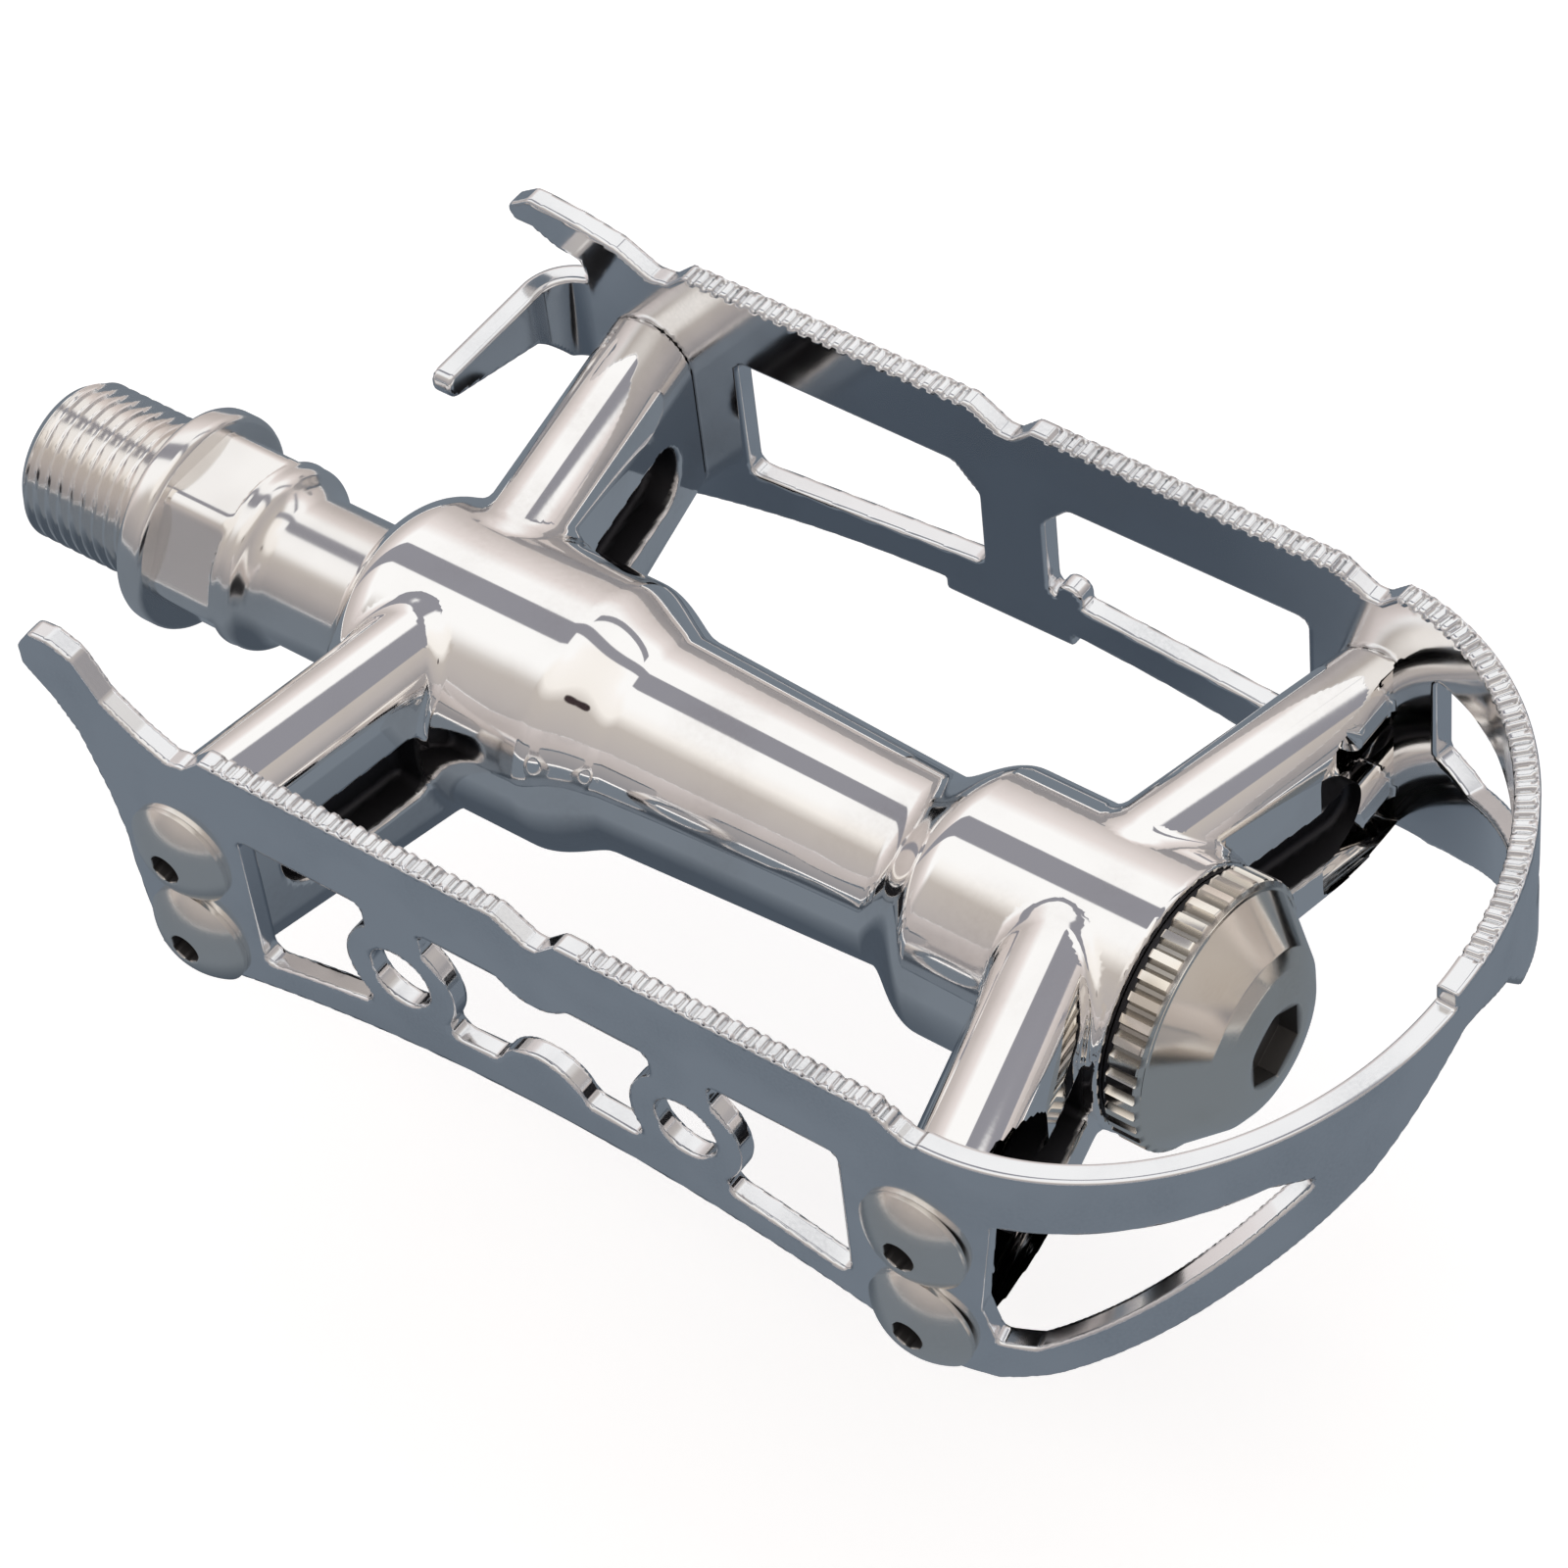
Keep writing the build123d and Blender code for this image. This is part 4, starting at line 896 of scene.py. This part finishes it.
# %% Lay the cage's net and bend it
flat_low, flat_high, cage_cell = (12.0, -10.6, -1.4), (hook_end + 0.8, 24.2, 1.4), 0.35
strip_points, strip_faces = surface_net(cage_distance, flat_low, flat_high, cage_cell)
strip_points, strip_normals = laid_on(cage_distance, strip_points)
step = 0.02
s, z, t = strip_points.T
along = (bent(s + step, z, t) - bent(s - step, z, t)) / (2 * step)
along /= np.linalg.norm(along, axis=-1, keepdims=True)
up = np.tile([0.0, 0.0, 1.0], (len(s), 1))
out = np.cross(along, up)
cage_points = bent(s, z, t)
cage_normals = along * strip_normals[:, :1] + up * strip_normals[:, 1:2] + out * strip_normals[:, 2:]
cage_mesh = bpy.data.meshes.new("bent_cage")
cage_mesh.from_pydata((cage_points * mm).tolist(), [], strip_faces.tolist())
if cage_mesh.polygons[0].normal @ Vector(cage_normals[strip_faces[0][0]]) < 0:
    cage_mesh.flip_normals()
cage_mesh.polygons.foreach_set("use_smooth", np.ones(len(cage_mesh.polygons), bool))
cage_mesh.normals_split_custom_set_from_vertices(cage_normals.tolist())
bent_cage = bpy.data.objects.new("bent_cage", cage_mesh)
bpy.context.scene.collection.objects.link(bent_cage)
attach(bent_cage, "pedal_group")
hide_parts("cage")
print("cage faces:", len(strip_faces))
print("cage reaches from", cage_points.min(0).round(2), "to", cage_points.max(0).round(2))


# %% [markdown]
# Every metal here is bare and clean. What tells one from another is how it was finished: buffed to a
# mirror, brushed satin, nickelled or ground.

# %% Metal finishes
# Painted shade in recesses: its colour, and the roughness added there.
recess_shade_colour, recess_rough = "#464548", 0.45


def blank_material(name):
    """A new material and its node tree, with no nodes yet."""
    made = bpy.data.materials.new(name)
    made.use_nodes = True
    made.node_tree.nodes.clear()
    return made, made.node_tree


def metal(name, bright, dull, smooth, rough, grain_mm, stretch, bump_mm):
    """A bare metal: colour and roughness swing with a fine grain where handling has worn it.

    In a hollow its colour darkens as painted shade and it turns rougher, by the mark that the mesh carries.
    """
    made, tree = blank_material(name)
    place = add(tree, "TexCoord").outputs["Object"]
    along = add(tree, "Mapping", {"Vector": place, "Scale": stretch})
    grain = add(tree, "TexNoise", {"Vector": along.outputs[0], "Scale": 1 / (grain_mm * mm), "Detail": 3.0})
    cloud = add(tree, "TexNoise", {"Vector": place, "Scale": 1 / (9 * mm), "Detail": 2.0})
    worn = add(tree, "MapRange", {"Value": cloud.outputs["Fac"], "From Min": 0.45, "From Max": 0.7})
    mixed = add(tree, "Math", {0: grain.outputs["Fac"], 1: worn.outputs[0]}, operation="MULTIPLY")
    level = add(tree, "MapRange", {"Value": mixed.outputs[0], "From Min": 0.0, "From Max": 0.6,
                                   "To Min": smooth, "To Max": rough})
    tint = add(tree, "Mix", {"Factor": mixed.outputs[0], "A": linear(bright), "B": linear(dull)},
               data_type="RGBA")
    # Painted shade: the colour darkens by the mark that each hollow carries.
    recess_shade = add(tree, "Attribute", attribute_name="recess_shade").outputs["Fac"]
    shaded_tint = add(tree, "Mix", {"Factor": recess_shade, "A": tint.outputs["Result"], "B": linear(recess_shade_colour)},
                data_type="RGBA")
    matt = add(tree, "Math", {0: recess_shade, 1: recess_rough, 2: level.outputs[0]}, operation="MULTIPLY_ADD")
    relief = add(tree, "Bump", {"Height": grain.outputs["Fac"], "Strength": 1.0, "Distance": bump_mm * mm})
    skin = add(tree, "BsdfPrincipled", {"Base Color": shaded_tint.outputs["Result"], "Metallic": 1.0,
                                        "Roughness": matt.outputs[0], "Normal": relief.outputs[0]})
    add(tree, "OutputMaterial", {"Surface": skin.outputs[0]})
    return made


# Buffed aluminium: a clear mirror with hardly any grain.
mirror_aluminium = metal("buffed_aluminium_mirror", "#fbf9f7", "#ebe7e4", 0.04, 0.09, 0.6, (1, 1, 1), 0.0004)
# Turned steel, satin: fine rings round the axis soften each highlight.
satin_steel = metal("satin_turned_steel", "#f6f3f0", "#e6e2de", 0.13, 0.18, 0.25, (8, 1, 1), 0.0003)
# Chromed plate, satin: it mirrors flat areas of the studio, slightly blurred.
plate_steel = metal("satin_chromed_steel", "#f0f0f1", "#dcdddf", 0.10, 0.18, 0.3, (1, 1, 1), 0.0006)
# Polished nickel: warmer and yellower than the steel beside it.
nickel = metal("polished_nickel", "#f6f0e6", "#e8dfd2", 0.13, 0.18, 0.5, (6, 1, 1), 0.0002)
# Screw steel, satin: soft domes without sharp reflections.
screw_satin = metal("satin_screw_steel", "#f6f1ea", "#ece6dd", 0.20, 0.25, 0.4, (1, 1, 1), 0.0001)
# Bearing parts, ground: greyer, with the grain of the grinding wheel.
ground_steel = metal("ground_bearing_steel", "#d7d6d5", "#b5b4b3", 0.12, 0.2, 0.2, (6, 1, 1), 0.001)
# Balls, lapped: nearly a mirror all over.
ball_steel = metal("lapped_ball_steel", "#e2e2e2", "#c8c8c8", 0.05, 0.08, 0.4, (1, 1, 1), 0.0003)
print("metals:", [m.name for m in (mirror_aluminium, satin_steel, plate_steel, nickel, screw_satin,
                                   ground_steel, ball_steel)])

# %% [markdown]
# The one soft piece is the seal ring, moulded from black rubber: matt, with a fine grit that breaks
# up what little it mirrors.

# %% Seal rubber
rubber, tree = blank_material("moulded_black_rubber")
place = add(tree, "TexCoord").outputs["Object"]
grit = add(tree, "TexNoise", {"Vector": place, "Scale": 1 / (0.2 * mm), "Detail": 4.0})
level = add(tree, "MapRange", {"Value": grit.outputs["Fac"], "To Min": 0.5, "To Max": 0.75})
tint = add(tree, "Mix", {"Factor": grit.outputs["Fac"], "A": linear("#141414"), "B": linear("#262525")},
           data_type="RGBA")
relief = add(tree, "Bump", {"Height": grit.outputs["Fac"], "Strength": 0.6, "Distance": 0.02 * mm})
skin = add(tree, "BsdfPrincipled", {"Base Color": tint.outputs["Result"], "Roughness": level.outputs[0],
                                    "Normal": relief.outputs[0]})
add(tree, "OutputMaterial", {"Surface": skin.outputs[0]})
print("rubber nodes:", len(tree.nodes))

# %% [markdown]
# Each finish now goes on its pieces. The inner pieces are the CAD's own meshes.

# %% Put each finish on its pieces
bearing_parts = ["inboard_cup", "outboard_cup", "bearing_cone", "keyed_washer", "locknut"]
finishes = {
    mirror_aluminium: [forged_body, dust_ring],
    satin_steel: [threaded_spindle],
    plate_steel: [bent_cage],
    nickel: [nickel_cap],
    screw_satin: screws,
    ground_steel: [nodes[n] for n in bearing_parts],
    ball_steel: [nodes["inboard_balls"], nodes["outboard_balls"]],
    rubber: [nodes["cap_seal_ring"]],
}
for finish, wearers in finishes.items():
    for wearer in wearers:
        wearer.data.materials.clear()
        wearer.data.materials.append(finish)
        print(finish.name, "on", wearer.name)

# %% [markdown]
# The floor is plain and pale, well below the pedal, so that only a faint soft shadow falls on it.
# A little light of its own, which only the camera and reflections see, lifts it to near white.

# %% Floor
floor_z, floor_radius, floor_lift = -50.0, 4000, 0.52
studio_middle, disc_rings, disc_spokes = 60, 6, 64


def ground_disc(name, z, radius):
    """A flat round grid: radius shared out from the middle, angle round it."""
    angle = np.arange(disc_spokes) * 2 * np.pi / disc_spokes
    r, a = np.meshgrid(np.linspace(0, radius, disc_rings), angle, indexing="ij")
    points = np.stack([r * np.cos(a) + studio_middle, r * np.sin(a), np.full(r.shape, z)], -1)
    disc = finish_mesh(name, points.reshape(-1, 3), grid_faces(disc_rings, disc_spokes, True), outward=False)
    if disc.data.polygons[0].normal.z < 0:
        disc.data.flip_normals()
    return disc


floor = ground_disc("floor", floor_z, floor_radius)
floor_paint, tree = blank_material("pale_floor")
paths = add(tree, "LightPath")
seen_direct = add(tree, "Math", {0: paths.outputs["Is Camera Ray"], 1: paths.outputs["Is Glossy Ray"]},
                  operation="MAXIMUM")
seen = add(tree, "Math", {0: seen_direct.outputs[0], 1: paths.outputs["Is Transmission Ray"]},
           operation="MAXIMUM")
lift = add(tree, "Math", {0: seen.outputs[0], 1: floor_lift}, operation="MULTIPLY")
matt = add(tree, "BsdfDiffuse", {"Color": linear("#eeeeee")})
glow = add(tree, "Emission", {"Color": (1, 1, 1, 1), "Strength": lift.outputs[0]})
both = add(tree, "AddShader", {0: matt.outputs[0], 1: glow.outputs[0]})
add(tree, "OutputMaterial", {"Surface": both.outputs[0]})
floor.data.materials.append(floor_paint)
print("floor at z", floor_z)

# %% [markdown]
# A slate card lies just above the floor, and only reflections see it. It gives the upright plates
# their slate grey. Under the crank side it carries a painted shadow of the pedal, which fades further out.

# %% Slate card
# The card's painted shadow of the pedal: darkest round its middle, fading out further away.
card_z, card_radius, full_shadow_within, no_shadow_beyond = -48.0, 1500, 25, 60
shadow_middle_x, shadow_middle_y = 30, -3
grey_card = ground_disc("grey_card", card_z, card_radius)
card_paint, tree = blank_material("slate_card")
place = add(tree, "TexCoord").outputs["Object"]
shadow_middle = (shadow_middle_x * mm, shadow_middle_y * mm, card_z * mm)
from_shadow_middle = add(tree, "VectorMath", {0: place, 1: shadow_middle}, operation="DISTANCE")
shaded = add(tree, "MapRange", {"Value": from_shadow_middle.outputs["Value"], "From Min": full_shadow_within * mm,
                                "From Max": no_shadow_beyond * mm})
greys = add(tree, "Mix", {"Factor": shaded.outputs[0], "A": linear("#4a535e"), "B": linear("#757e88")},
            data_type="RGBA")
slate = add(tree, "Emission", {"Color": greys.outputs["Result"], "Strength": 1.0})
add(tree, "OutputMaterial", {"Surface": slate.outputs[0]})
grey_card.data.materials.append(card_paint)
grey_card.visible_camera = False
grey_card.visible_diffuse = False
grey_card.visible_shadow = False
grey_card.visible_transmission = False
print("slate card at z", card_z, "seen by reflections only")
